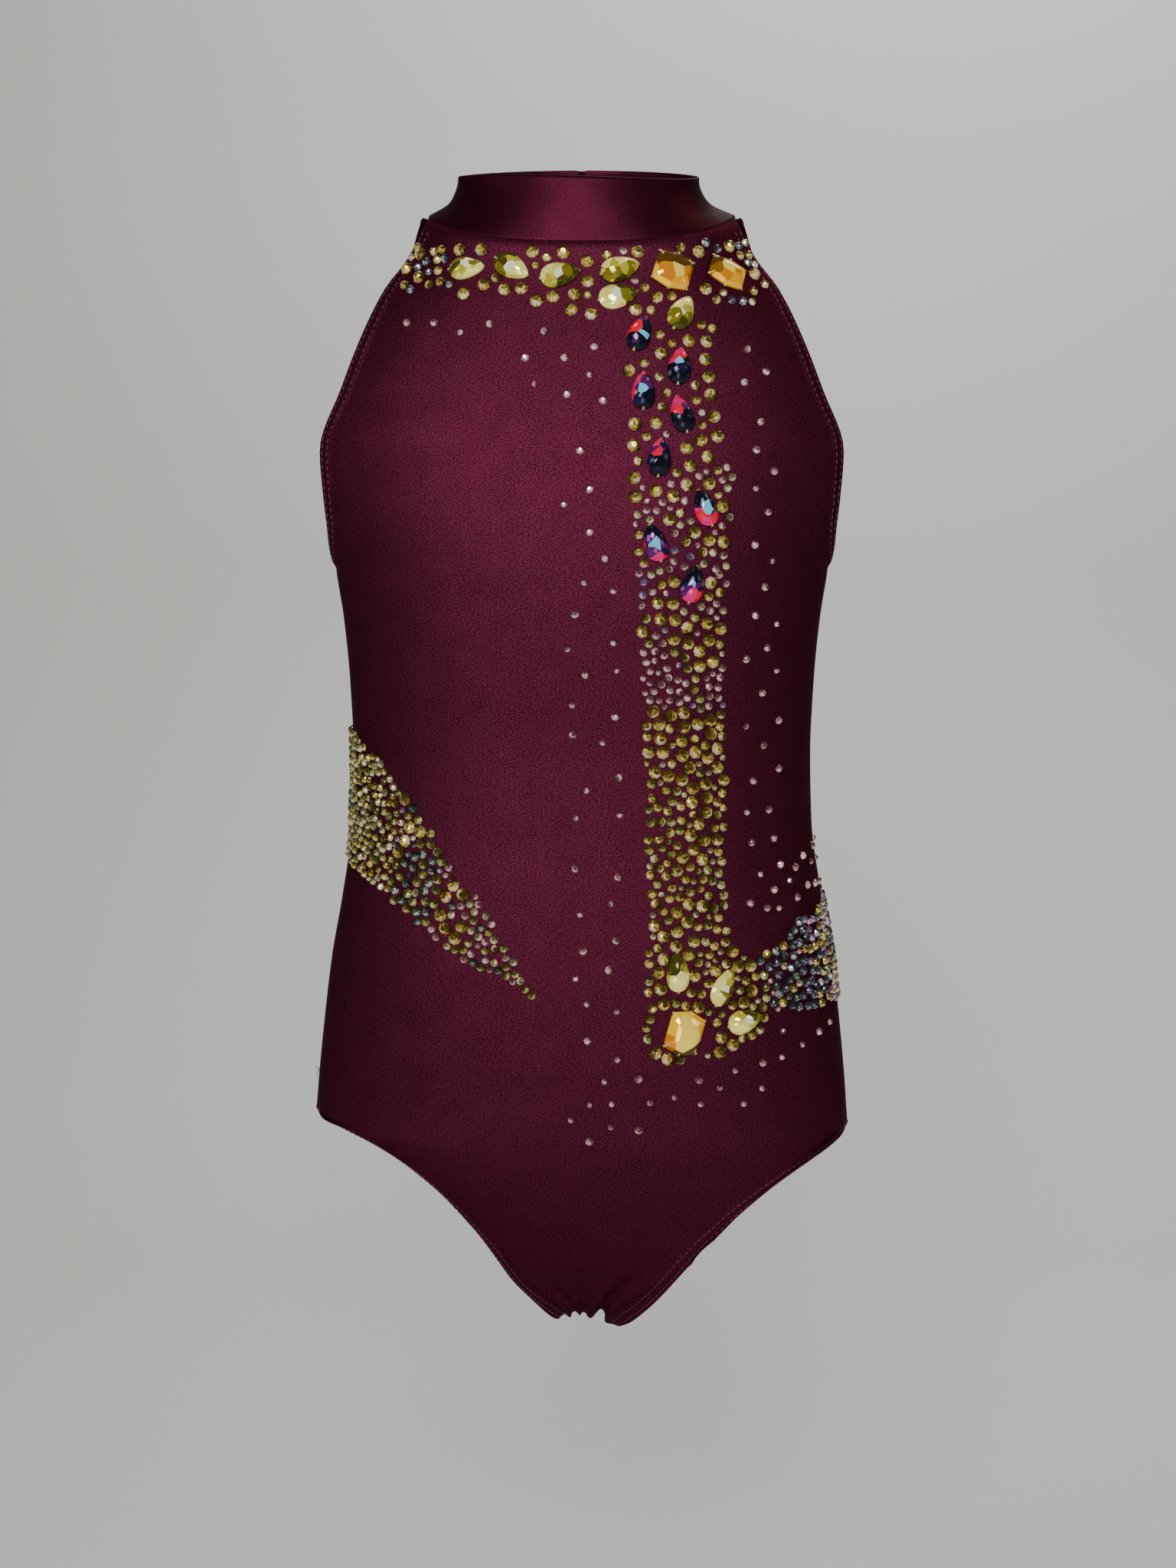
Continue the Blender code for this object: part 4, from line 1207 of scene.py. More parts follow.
class Colour(Enum):
    """The colours of the small stones."""

    GOLD = "gold"
    OLIVE = "olive"
    PALE_GOLD = "pale_gold"
    PALE_PINK = "pale_pink"
    BLACK_DIAMOND = "black_diamond"
    LILAC = "lilac"
    GREEN_BLACK = "green_black"
    ROSE = "rose"


GOLD, OLIVE, PALE_GOLD, PALE_PINK, BLACK_DIAMOND, LILAC, GREEN_BLACK, ROSE = Colour
SS12, SS16, SS20, SS30 = 3.1, 4.0, 4.7, 6.4
# A mix has rows of a size, a colour and how often it is drawn.
Mix = tuple[tuple[float, Colour, float], ...]


@dataclass(frozen=True)
class Scatter:
    """One area of small stones: its outline as x and z, its mix, the gap between stones,
    how many are tried, and how snugly they lie; 0 is at random."""

    name: str
    outline: tuple[Pair, ...]
    mix: Mix
    gap: float
    count: int
    snug: float = 0.0


GOLDEN: Mix = ((SS30, GOLD, 2.2), (SS20, GOLD, 4.0), (SS16, OLIVE, 4.0),
               (SS20, OLIVE, 3.0), (SS16, GOLD, 3.0), (SS12, PALE_GOLD, 2.5),
               (SS12, OLIVE, 2.0))
SPARSE: Mix = ((SS30, GOLD, 2.2), (SS20, GOLD, 2.4), (SS16, GOLD, 1.4),
               (SS16, PALE_PINK, 0.7), (SS20, GREEN_BLACK, 0.5))
ENDS: Mix = ((SS20, GOLD, 3.0), (SS30, GOLD, 1.0), (SS16, BLACK_DIAMOND, 2.0),
             (SS20, BLACK_DIAMOND, 2.0), (SS16, PALE_GOLD, 1.5))
UPPER: Mix = ((SS30, GOLD, 2.4), (SS20, GOLD, 2.4), (SS16, PALE_PINK, 1.4),
              (SS16, GOLD, 1.0))
LOWER: Mix = ((SS30, GOLD, 1.0), (SS20, GOLD, 0.7), (SS16, PALE_PINK, 4.0),
              (SS16, PALE_GOLD, 1.6), (SS12, PALE_PINK, 4.0),
              (SS16, LILAC, 0.5), (SS12, ROSE, 0.8))
PINKS: Mix = ((SS16, PALE_PINK, 3.0), (SS12, PALE_PINK, 5.0),
              (SS30, GOLD, 1.2), (SS20, OLIVE, 1.0), (SS12, LILAC, 1.5))
FLASH: Mix = ((SS20, GREEN_BLACK, 2.0), (SS20, BLACK_DIAMOND, 2.0),
              (SS16, PALE_GOLD, 3.0), (SS20, GOLD, 1.5),
              (SS16, BLACK_DIAMOND, 2.5), (SS12, PALE_PINK, 2.0))
FLASH_SIDE: Mix = ((SS16, LILAC, 3.0), (SS16, PALE_PINK, 3.0),
                   (SS20, GOLD, 1.5), (SS20, BLACK_DIAMOND, 1.5),
                   (SS16, PALE_GOLD, 1.5), (SS12, ROSE, 1.0))
MIXED: Mix = ((SS20, GREEN_BLACK, 1.6), (SS16, GREEN_BLACK, 1.6),
              (SS16, PALE_PINK, 1.8), (SS20, OLIVE, 2.0), (SS30, GOLD, 0.3),
              (SS16, PALE_GOLD, 2.0), (SS12, LILAC, 1.2),
              (SS12, BLACK_DIAMOND, 1.2), (SS12, PALE_PINK, 1.5))
SIDE: Mix = ((SS20, GOLD, 2.0), (SS16, OLIVE, 5.0), (SS16, GOLD, 3.0),
             (SS16, PALE_GOLD, 2.5), (SS20, BLACK_DIAMOND, 0.8),
             (SS12, GREEN_BLACK, 1.5), (SS12, OLIVE, 2.0))
TIP: Mix = ((SS16, OLIVE, 3.0), (SS16, PALE_PINK, 2.5),
            (SS12, PALE_PINK, 2.0), (SS30, GOLD, 0.4),
            (SS16, PALE_GOLD, 2.0), (SS16, GREEN_BLACK, 1.0))
LONE: Mix = ((SS16, PALE_PINK, 3.0), (SS12, PALE_PINK, 3.0))

SCATTERS = (
    Scatter("collar_band_left", ((-76, -12), (-62, -16), (-58, -34), (-85, -36), (-81, -22)), ENDS,
            0.8, 30),
    Scatter("collar_band", ((-64, -16), (-30, -19), (0, -21), (30, -19), (56, -15), (62, -36),
                            (30, -50), (4, -50), (-30, -42), (-60, -39)), SPARSE, 1.0, 64),
    Scatter("collar_band_right", ((54, -14), (75, -10), (81, -22), (85, -32), (80, -42),
                                  (58, -42)), ENDS, 0.8, 30),
    Scatter("band_top", ((20, -50), (62, -54), (62, -88), (22, -88)), UPPER, 1.6, 26),
    Scatter("band_upper", ((21, -86), (62, -86), (64, -136), (24, -136)), UPPER, 1.4, 44),
    Scatter("band_lower", ((24, -132), (70, -120), (66, -188), (27, -188)), LOWER, 0.6, 130, 0.9),
    Scatter("band_pink", ((27, -186), (66, -186), (66, -232), (29, -232)), PINKS, 0.5, 150, 0.6),
    Scatter("band_gold", ((29, -230), (66, -230), (68, -341), (62, -352), (34, -350), (31, -300)),
            GOLDEN, 0.2, 300, 0.4),
    Scatter("band_foot", ((31, -346), (70, -346), (86, -356), (90, -372), (84, -388),
                          (64, -396), (34, -398), (30, -384)), GOLDEN, 0.25, 170, 0.4),
    Scatter("left_hip_flash", ((66, -360), (96, -344), (104, -335), (104, -376), (90, -376),
                               (76, -372)), FLASH, 0.1, 160, 0.3),
    Scatter("left_hip_side", ((102, -337), (119, -326), (146, -322), (146, -378), (102, -376)),
            FLASH_SIDE, 0.1, 260, 0.3),
    Scatter("right_hip_side", ((-142, -242), (-110, -246), (-94, -260), (-86, -272), (-92, -320),
                               (-113, -308), (-142, -304)), SIDE, 0.05, 330, 0.3),
    Scatter("right_hip_middle", ((-88, -268), (-82, -275), (-72, -290), (-64, -304), (-72, -337),
                                 (-84, -329), (-93, -321)), MIXED, 0.10, 170, 0.3),
    Scatter("right_hip_tip", ((-66, -300), (-59, -312), (-50, -320), (-41, -334), (-32, -349),
                              (-21, -368), (-35, -360), (-44, -355), (-59, -348), (-73, -338)),
            TIP, 0.15, 130, 0.3),
    Scatter("lone_upper", ((-84, -38), (8, -50), (14, -98), (-12, -98), (-38, -62), (-84, -56)),
            LONE, 9.5, 15),
    Scatter("lone_lower", ((-10, -104), (18, -98), (27, -230), (27, -396), (-2, -398),
                           (-6, -240)), LONE, 9.5, 32),
    Scatter("lone_outer", ((68, -58), (86, -70), (92, -160), (94, -260), (96, -306), (74, -340),
                           (72, -230), (69, -130)), LONE, 9.0, 38),
    Scatter("lone_side", ((76, -314), (116, -294), (118, -318), (98, -330), (76, -340)), LONE,
            4.5, 14),
    Scatter("lone_hip", ((0, -401), (56, -402), (70, -393), (92, -388), (104, -376), (126, -366),
                         (124, -390), (98, -403), (84, -420), (40, -426), (6, -440), (-9, -438)),
            LONE, 7.5, 22),
)


class SmallStones:
    """Sets the small glued stones area by area, none overlapping."""

    darts = 9000
    glue = 0.12
    # The mean way and the spread of each stone's turn, which sets where its painted bright facets
    # face.
    glint_way = -1.75
    turn_spread = 0.7
    tilt = 0.06
    clear_half = 0.47
    drop_reach = 0.55
    drop_spots = (0.9, 1.0, 0.5)
    kite_spots = (-0.3, 0.0, 0.3)

    def __init__(self, skin: Skin, round_unit: Unit, seed: int) -> None:
        """Start with no stones but the large ones in the way.

        Args:
            skin: the cloth to glue them on.
            round_unit: the unit stone.
            seed: the seed of their places.
        """
        self.skin = skin
        self.rng = np.random.default_rng(seed)
        self.sets = {colour: Copies(round_unit) for colour in Colour}
        self.taken: list[Triple] = []
        for stone in LARGE_STONES:
            around = skin.around_at(stone.x, stone.z)
            tip = math.radians(stone.tip)
            half = self.clear_half * stone.width
            reach = 0.5 * stone.length - self.drop_reach * half
            spots = [(way * reach, share * half) for way, share in zip((-1, 0, 1), self.drop_spots)]
            if stone.kind == "kite":
                spots = [(share * stone.length, half) for share in self.kite_spots]
            for along, radius in spots:
                self.taken.append((around + along * math.cos(tip),
                                   stone.z + along * math.sin(tip), radius))

    @staticmethod
    def inside(outline: Array, points: Array) -> Array:
        """Which points lie in an outline."""
        hit = np.zeros(len(points), bool)
        a, b = points.T
        for (a1, b1), (a2, b2) in zip(outline, np.roll(outline, -1, axis=0)):
            if b1 != b2:
                crossing = (a2 - a1) * (b - b1) / (b2 - b1) + a1
                hit ^= ((b1 > b) != (b2 > b)) & (a < crossing)
        return hit

    def fill(self, area: Scatter) -> int:
        """Set the stones of one area, the larger sizes first.

        A snug area is filled from its stones' neighbours outwards, the others at random.

        Args:
            area: the area.

        Returns:
            How many stones found room.
        """
        outline = np.array([(self.skin.around_at(x, z), z) for x, z in area.outline])
        spots = self.rng.uniform(outline.min(axis=0), outline.max(axis=0), (self.darts, 2))
        spots = spots[self.inside(outline, spots)]
        room = np.full(len(spots), np.inf)
        for a, b, radius in self.taken:
            room = np.minimum(room, np.hypot(spots[:, 0] - a, spots[:, 1] - b) - radius)
        weights = np.array([share for _, _, share in area.mix])
        drawn = self.rng.choice(len(area.mix), area.count, p=weights / weights.sum())
        placed = 0
        for size, colour in sorted((area.mix[k][:2] for k in drawn), key=lambda row: -row[0]):
            fits = np.flatnonzero(room >= size / 2 + area.gap)
            if not len(fits):
                continue
            pick = self.rng.choice(fits)
            if area.snug and placed:
                pick = fits[np.argmin(room[fits] + self.rng.random(len(fits)) * area.snug)]
            a, b = spots[pick]
            room = np.minimum(room, np.hypot(spots[:, 0] - a, spots[:, 1] - b) - size / 2)
            self.set_stone(a, b, size, colour)
            placed += 1
        return placed

    def set_stone(self, around: float, z: float, size: float, colour: Colour) -> None:
        """Glue one stone on the cloth, turned at random about the way its painted bright facets
        face.
        """
        self.taken.append((around, z, size / 2))
        place, normal = self.skin.place(around, z)
        turn = self.rng.normal(self.glint_way, self.turn_spread)
        way = np.array([math.cos(turn), 0.1, math.sin(turn)])
        way = unit(way - normal * np.dot(way, normal))
        tilt = unit(normal + way * self.rng.uniform(-self.tilt, self.tilt))
        self.sets[colour].add(place + normal * self.glue, way, tilt, (size, size, size))


class Stitching:
    """Sews the hems of the armholes, the legs and the keyhole slit."""

    pitch = 3.3
    length = 2.5
    thickness = 0.42
    lift = 0.16
    fewest_rows = 4
    ends_z = -415.0
    end_step = 1.1
    end_overlap = 0.8
    end_thickness = 0.34
    end_start = (0.0, -0.6, 0.0)
    end_lean = -0.25
    end_bends = ((70, 55, 20, -30), (-25, -60, -80, -95, -70), (15, 40, 10))

    def __init__(self, stitch: Unit) -> None:
        """Start with no stitches."""
        self.stitches = Copies(stitch)

    def sew(self, line: Array, normals: Array) -> None:
        """Sew one row of stitches along a line of points with their normals."""
        places = travelled(line)
        count = int(places[-1] / self.pitch)
        for along in (np.arange(count) + 0.5) * self.pitch:
            ends = read_at(line, places, np.array([along - 0.5, along + 0.5]))
            normal = unit(read_at(normals, places, np.array([along]))[0])
            middle = ends.mean(axis=0) + normal * self.lift
            self.stitches.add(middle, unit(ends[1] - ends[0]), normal,
                              (self.length, self.thickness, self.thickness))

    def sew_beside(self, rows: Array, normals: Array, place: float) -> None:
        """Sew one row of stitches at a distance in from where the given rows start."""
        there = np.array([place])
        along = [travelled(row) for row in rows]
        self.sew(np.array([read_at(row, run, there)[0] for row, run in zip(rows, along)]),
                 np.array([read_at(ups, run, there)[0] for ups, run in zip(normals, along)]))

    def hem(self, sheet: Sheet, start: bool, facing: float) -> None:
        """Sew both rows of each hem on one edge of a sheet.

        Args:
            sheet: the sheet.
            start: whether the edge is the first column and not the last.
            facing: 1 where rows crossed with columns point outwards, else -1.
        """
        from_edge = slice(None) if start else slice(None, None, -1)
        outer = sheet.outer[:, from_edge]
        normals = (sheet_normals(sheet.outer) * facing)[:, from_edge]
        hemmed = np.abs(outer[:, 0, 1]) >= SIDE_SEAM_BAND
        cuts = np.flatnonzero(np.diff(hemmed.astype(int))) + 1
        for run in np.split(np.arange(len(outer)), cuts):
            if hemmed[run[0]] and len(run) >= self.fewest_rows:
                for place in STITCH_ROWS:
                    self.sew_beside(outer[run[1:-1]], normals[run[1:-1]], place)

    def loose_ends(self, sheet: Sheet) -> None:
        """Leave a few cut thread ends at the lower end of the wearer's right side seam."""
        row = int(np.argmin(np.abs(sheet.outer[:, 0, 2] - self.ends_z)))
        corner = sheet.outer[row, 0] + np.array(self.end_start)
        size = (self.end_step, self.end_thickness, self.end_thickness)
        for bends in self.end_bends:
            place = corner
            for degrees in bends:
                turn = math.radians(degrees)
                way = unit(np.array([-math.cos(turn), self.end_lean, math.sin(turn)]))
                step = way * self.end_overlap * self.end_step
                self.stitches.add(place + step / 2, way, np.array([0.0, -1.0, 0.0]), size)
                place = place + step

    def slit(self, sheet: Sheet, facing: float) -> None:
        """Sew one row beside the slit on the first column of a back half."""
        normals = sheet_normals(sheet.outer) * facing
        self.sew_beside(sheet.outer[sheet.open_start], normals[sheet.open_start], STITCH_ROWS[0])


class Tree:
    """Adds and links the nodes of a material or a node group."""

    def __init__(self, tree: NodeTree) -> None:
        """Work on a node tree."""
        self.tree = tree

    def add(self, kind: str, inputs: dict[str | int, object] | None = None,
            **settings: object) -> Node:
        """Add a node.

        Args:
            kind: the node's type.
            inputs: a value or a socket to link for each input.
            settings: the node's own properties.

        Returns:
            The node.
        """
        node = self.tree.nodes.new(kind)
        for key, value in settings.items():
            setattr(node, key, value)
        for key, value in (inputs or {}).items():
            self.feed(node.inputs[key], value)
        return node

    def feed(self, socket: Socket, value: object) -> None:
        """Link a socket to an input, or set the input's value."""
        if isinstance(value, Socket):
            self.tree.links.new(value, socket)
        else:
            socket.default_value = value

    def ramp(self, factor: Socket, stops: tuple[tuple[float, Triple], ...],
             flat: bool = False) -> Socket:
        """A colour ramp.

        Args:
            factor: what drives it.
            stops: each stop's position and colour.
            flat: whether a stop's colour holds up to the next stop.

        Returns:
            The ramp's colour.
        """
        node = self.add("ShaderNodeValToRGB", {0: factor})
        node.color_ramp.interpolation = "CONSTANT" if flat else "LINEAR"
        elements = node.color_ramp.elements
        while len(elements) < len(stops):
            elements.new(1.0)
        for element, (position, colour) in zip(elements, stops):
            element.position = position
            element.color = (*colour, 1.0)
        return node.outputs[0]

    def math(self, operation: str, *values: object, clamp: bool = False) -> Socket:
        """The result of a math node."""
        node = self.add("ShaderNodeMath", dict(enumerate(values)), operation=operation,
                        use_clamp=clamp)
        return node.outputs[0]

    def noise(self, where: Socket, scale: object, **inputs: float) -> Socket:
        """The value of a noise texture."""
        inputs = {"Vector": where, "Scale": scale, **inputs}
        return self.add("ShaderNodeTexNoise", inputs).outputs[0]

    def mixed(self, factor: object, first: object, second: object,
              blend: str = "MIX") -> Socket:
        """A mix of two colours."""
        node = self.add("ShaderNodeMix", {0: factor, 6: first, 7: second}, data_type="RGBA",
                        blend_type=blend)
        return node.outputs[2]


def rgb(red: float, green: float, blue: float) -> Colour4:
    """A colour with an alpha of 1."""
    return red, green, blue, 1.0


def new_group(name: str, inputs: dict[str, float],
              outputs: dict[str, str]) -> tuple[Tree, Node, Node]:
    """Start a node group.

    Args:
        name: the group's name.
        inputs: its number inputs and their defaults.
        outputs: its outputs and their socket types.

    Returns:
        Its tree, its input node and its output node.
    """
    group = bpy.data.node_groups.new(name, "ShaderNodeTree")
    for label, default in inputs.items():
        socket = group.interface.new_socket(label, in_out="INPUT", socket_type="NodeSocketFloat")
        socket.default_value = default
    for label, kind in outputs.items():
        group.interface.new_socket(label, in_out="OUTPUT", socket_type=kind)
    tree = Tree(group)
    return tree, tree.add("NodeGroupInput"), tree.add("NodeGroupOutput")


# The tricot's grain, then the painted light and shade on the facets of the small stones and of the
# large ones.
GRAIN_STRETCH = (0.75, 1.25, 1.0)
RIB_SHARE = 0.35
CLOUD_SHARE = 0.22
GRAIN_DEPTH = 0.0004
TINT_SHIFT = (-0.12, 0.10)
FACET_UNEVEN = 0.45
FACET_TOP = 0.9
PAINTED_FLASH_REACH = 0.22
PAINTED_FLASH_SHADE = 0.97


def grain_group() -> NodeTree:
    """The fine grain of the tricot, on the cloth's own map: its bump, and bright specks for the
    colour that are partly the knit's own grain and partly painted sparkle.
    """
    tree, given, result = new_group("tricot_grain", {"Size": 140.0, "Bump": 0.3},
                                    {"Grain_with_sparkle": "NodeSocketFloat", "Cloud": "NodeSocketFloat",
                                     "Normal": "NodeSocketVector"})
    uv = tree.add("ShaderNodeUVMap").outputs[0]
    stretched = tree.add("ShaderNodeMapping", {"Vector": uv, "Scale": GRAIN_STRETCH}).outputs[0]
    fine = tree.noise(stretched, given.outputs["Size"], Detail=3.0, Roughness=0.65)
    cloud = tree.noise(uv, 7.0, Detail=2.0)
    rib = tree.add("ShaderNodeTexWave", {"Vector": uv, "Scale": 55.0, "Distortion": 1.2,
                                         "Detail": 1.0}, bands_direction="X").outputs[1]
    grain = tree.add("ShaderNodeMapRange", {"Value": fine, "From Min": 0.40, "From Max": 0.62})
    height = tree.math("ADD", tree.math("MULTIPLY", rib, RIB_SHARE), fine)
    bump = tree.add("ShaderNodeBump", {"Strength": given.outputs["Bump"], "Distance": GRAIN_DEPTH,
                                       "Height": height})
    tree.feed(result.inputs["Grain_with_sparkle"], grain.outputs[0])
    tree.feed(result.inputs["Cloud"], cloud)
    tree.feed(result.inputs["Normal"], bump.outputs[0])
    return tree.tree


def facet_group() -> NodeTree:
    """The painted shade of each facet of a small stone, from 0 to 1, with the stone's own tint."""
    tree, _, result = new_group("facet_light", {}, {"Shade": "NodeSocketFloat"})
    painted_glint = tree.add("ShaderNodeAttribute", attribute_name="painted_glint").outputs["Fac"]
    tint = tree.add("ShaderNodeAttribute", attribute_name="tint").outputs["Fac"]
    shift = tree.add("ShaderNodeMapRange", {"Value": tint, "To Min": TINT_SHIFT[0],
                                              "To Max": TINT_SHIFT[1]})
    tree.feed(result.inputs["Shade"], tree.math("ADD", painted_glint, shift.outputs[0], clamp=True))
    return tree.tree


def gem_group() -> NodeTree:
    """The painted shade of each facet seen in a large stone, standing in for its reflections:
    brighter towards +U, a painted flash mid-way.
    """
    tree, given, result = new_group("gem_painted_reflections", {"Size": 2.9, "Slope": 0.9, "Middle": 0.42},
                                    {"Shade": "NodeSocketFloat"})
    where = tree.add("ShaderNodeAttribute", attribute_name="facet_place").outputs["Vector"]
    cells = tree.add("ShaderNodeTexVoronoi", {"Vector": where, "Scale": given.outputs["Size"]})
    place = tree.add("ShaderNodeSeparateXYZ", {0: cells.outputs["Position"]}).outputs
    drawn = tree.add("ShaderNodeSeparateColor", {0: cells.outputs["Color"]}).outputs
    slope = tree.math("MULTIPLY", place[0], given.outputs["Slope"])
    uneven = tree.math("MULTIPLY", tree.math("SUBTRACT", drawn[0], 0.5), FACET_UNEVEN)
    shade = tree.math("ADD", tree.math("ADD", given.outputs["Middle"], slope), uneven, clamp=True)
    kept = tree.math("MINIMUM", shade, FACET_TOP)
    spread = tree.math("ADD", tree.math("ABSOLUTE", place[0]), tree.math("ABSOLUTE", place[1]))
    # A painted flash: the cells near the middle take the top step of the ramp.
    flash = tree.math("LESS_THAN", spread, PAINTED_FLASH_REACH)
    lit = tree.add("ShaderNodeMix", {0: flash, 2: kept, 3: PAINTED_FLASH_SHADE}).outputs[0]
    tree.feed(result.inputs["Shade"], lit)
    return tree.tree


@dataclass(frozen=True)
class Finish:
    """The constant values of a surface."""

    roughness: float
    metallic: float = 0.0
    coat: float = 0.0
    specular: float = 0.5
    edge: Triple = (1.0, 1.0, 1.0)
    # Painted light: how strongly a part that is no lamp gives off its own colour.
    painted_glow: float = 0.0


COAT_ROUGHNESS = 0.04


def shaded(name: str, finish: Finish) -> tuple[Material, Tree, Node]:
    """Start a material: its Principled shader with the constant values of a finish."""
    material = bpy.data.materials.new(name)
    material.use_nodes = True
    shader = material.node_tree.nodes["Principled BSDF"]
    for label, value in (("Roughness", finish.roughness), ("Metallic", finish.metallic),
                         ("Coat Weight", finish.coat), ("Coat Roughness", COAT_ROUGHNESS),
                         ("Specular IOR Level", finish.specular),
                         ("Specular Tint", rgb(*finish.edge)), ("Emission Strength", finish.painted_glow)):
        shader.inputs[label].default_value = value
    return material, Tree(material.node_tree), shader


# The wine's dark and bright ends; the grain's specks, partly painted sparkle, and its random cloud
# mix between them.
WINE_DARK = rgb(0.022, 0.0018, 0.007)
WINE_BRIGHT = rgb(0.150, 0.0215, 0.055)
CLOTH_EDGE = (0.20, 0.03, 0.07)


class Looks:
    """Makes and keeps the materials of the garment."""

    # Painted reflections of the large stones: each ramp runs from painted shade up to a painted
    # flash.
    large_ramps = {
        "citrine": ((0.0, (0.06, 0.055, 0.006)), (0.22, (0.20, 0.17, 0.012)),
                    (0.42, (0.50, 0.43, 0.04)), (0.62, (0.78, 0.72, 0.16)),
                    (0.80, (0.92, 0.86, 0.25)), (0.93, (0.90, 0.92, 0.62))),
        "amber": ((0.0, (0.10, 0.045, 0.004)), (0.22, (0.30, 0.13, 0.008)),
                  (0.42, (0.72, 0.24, 0.006)), (0.60, (0.90, 0.42, 0.010)),
                  (0.78, (1.0, 0.62, 0.004)), (0.93, (1.0, 0.74, 0.10))),
        "violet": ((0.0, (0.004, 0.005, 0.016)), (0.28, (0.010, 0.010, 0.045)),
                   (0.46, (0.10, 0.010, 0.120)), (0.56, (0.85, 0.008, 0.045)),
                   (0.78, (0.78, 0.014, 0.170)), (0.93, (0.16, 0.640, 0.900))),
    }
    # The mean step of each large stone's painted shade.
    large_middles = {"citrine": 0.52, "amber": 0.50, "violet": 0.34}
    wall_shares = ((0.97, 0.98, 0.95), (1.03, 1.03, 1.0))
    # The painted middle and the painted white highlight of the small stones, as shares of their
    # bright colour.
    middle_share = 0.36
    painted_flash_share = 0.55
    # Each small stone's colour as a painted dark facet and a painted bright facet.
    small_ramps = {
        GOLD: ((0.060, 0.038, 0.006), (0.74, 0.53, 0.085)),
        OLIVE: ((0.040, 0.034, 0.006), (0.46, 0.40, 0.080)),
        PALE_GOLD: ((0.11, 0.09, 0.04), (0.84, 0.74, 0.40)),
        PALE_PINK: ((0.11, 0.035, 0.04), (0.86, 0.50, 0.50)),
        BLACK_DIAMOND: ((0.018, 0.018, 0.026), (0.11, 0.115, 0.15)),
        LILAC: ((0.10, 0.05, 0.13), (0.48, 0.30, 0.52)),
        GREEN_BLACK: ((0.008, 0.014, 0.013), (0.13, 0.17, 0.12)),
        ROSE: ((0.11, 0.02, 0.04), (0.88, 0.36, 0.42)),
    }

    def __init__(self) -> None:
        """Make the node groups that the materials share."""
        self.grain = grain_group()
        self.facets = facet_group()
        self.gem = gem_group()

    def tricot(self, name: str, finish: Finish, bump: float, grain_and_sparkle: float) -> Material:
        """Shiny stretch cloth in wine red.

        Args:
            name: the material's name.
            finish: its constant values.
            bump: how rough its grain stands.
            grain_and_sparkle: how far the grain, partly painted sparkle, brightens the colour.

        Returns:
            The material.
        """
        material, tree, shader = shaded(name, finish)
        grain = tree.add("ShaderNodeGroup", node_tree=self.grain)
        grain.inputs["Bump"].default_value = bump
        # The bright specks are partly the knit's own grain and partly painted sparkle.
        bright = tree.math("MULTIPLY", grain.outputs["Grain_with_sparkle"], grain_and_sparkle)
        shade = tree.math("ADD", bright, tree.math("MULTIPLY", grain.outputs["Cloud"], CLOUD_SHARE))
        tree.feed(shader.inputs["Base Color"], tree.mixed(shade, WINE_DARK, WINE_BRIGHT))
        tree.feed(shader.inputs["Normal"], grain.outputs["Normal"])
        return material

    def glass(self, colour: str) -> Material:
        """A large cut stone whose facets are painted light and shade, one step of its colours each,
        standing in for its reflections.
        """
        material, tree, shader = shaded(colour + "_glass",
                                        Finish(0.08, 0.45, 0.15, specular=0.3, painted_glow=0.20))
        gem = tree.add("ShaderNodeGroup", node_tree=self.gem)
        gem.inputs["Middle"].default_value = self.large_middles[colour]
        tint = tree.ramp(gem.outputs["Shade"], self.large_ramps[colour], True)
        tree.feed(shader.inputs["Base Color"], tint)
        # Painted light: the stone also gives off its painted colour, though it is no lamp.
        tree.feed(shader.inputs["Emission Color"], tint)
        return material

    def small_glass(self, colour: Colour) -> Material:
        """A small foil-backed stone, its facets unequally bright by painted light and shade."""
        material, tree, shader = shaded(f"{colour.value}_stone",
                                        Finish(0.16, 0.55, 0.2, specular=0.3, painted_glow=0.16))
        shade = tree.add("ShaderNodeGroup", node_tree=self.facets).outputs["Shade"]
        dark, bright = self.small_ramps[colour]
        middle = tuple(self.middle_share * value for value in bright)
        # A painted highlight: the bright colour drawn towards white.
        flash = tuple(1.0 - self.painted_flash_share + self.painted_flash_share * value for value in bright)
        tint = tree.ramp(shade, ((0.20, dark), (0.52, middle), (0.82, bright), (1.0, flash)))
        tree.feed(shader.inputs["Base Color"], tint)
        # Painted light: the stone also gives off its painted colour, though it is no lamp.
        tree.feed(shader.inputs["Emission Color"], tint)
        return material

    def plain(self, name: str, finish: Finish, dark: Triple,
              bright: Triple, size: float) -> Material:
        """Thread, cord, plastic or metal with a small unevenness of colour."""
        material, tree, shader = shaded(name, finish)
        where = tree.add("ShaderNodeTexCoord").outputs["Object"]
        noise = tree.noise(where, size)
        tree.feed(shader.inputs["Base Color"], tree.mixed(noise, rgb(*dark), rgb(*bright)))
        return material

    def wall(self, name: str, level: float) -> Material:
        """A pale, matt wall or floor."""
        material, tree, shader = shaded(name, Finish(0.9, specular=0.1))
        where = tree.add("ShaderNodeTexCoord").outputs["Object"]
        noise = tree.noise(where, 1.3)
        low, high = (rgb(*(level * share for share in shares)) for shares in self.wall_shares)
        tree.feed(shader.inputs["Base Color"], tree.mixed(noise, low, high))
        return material


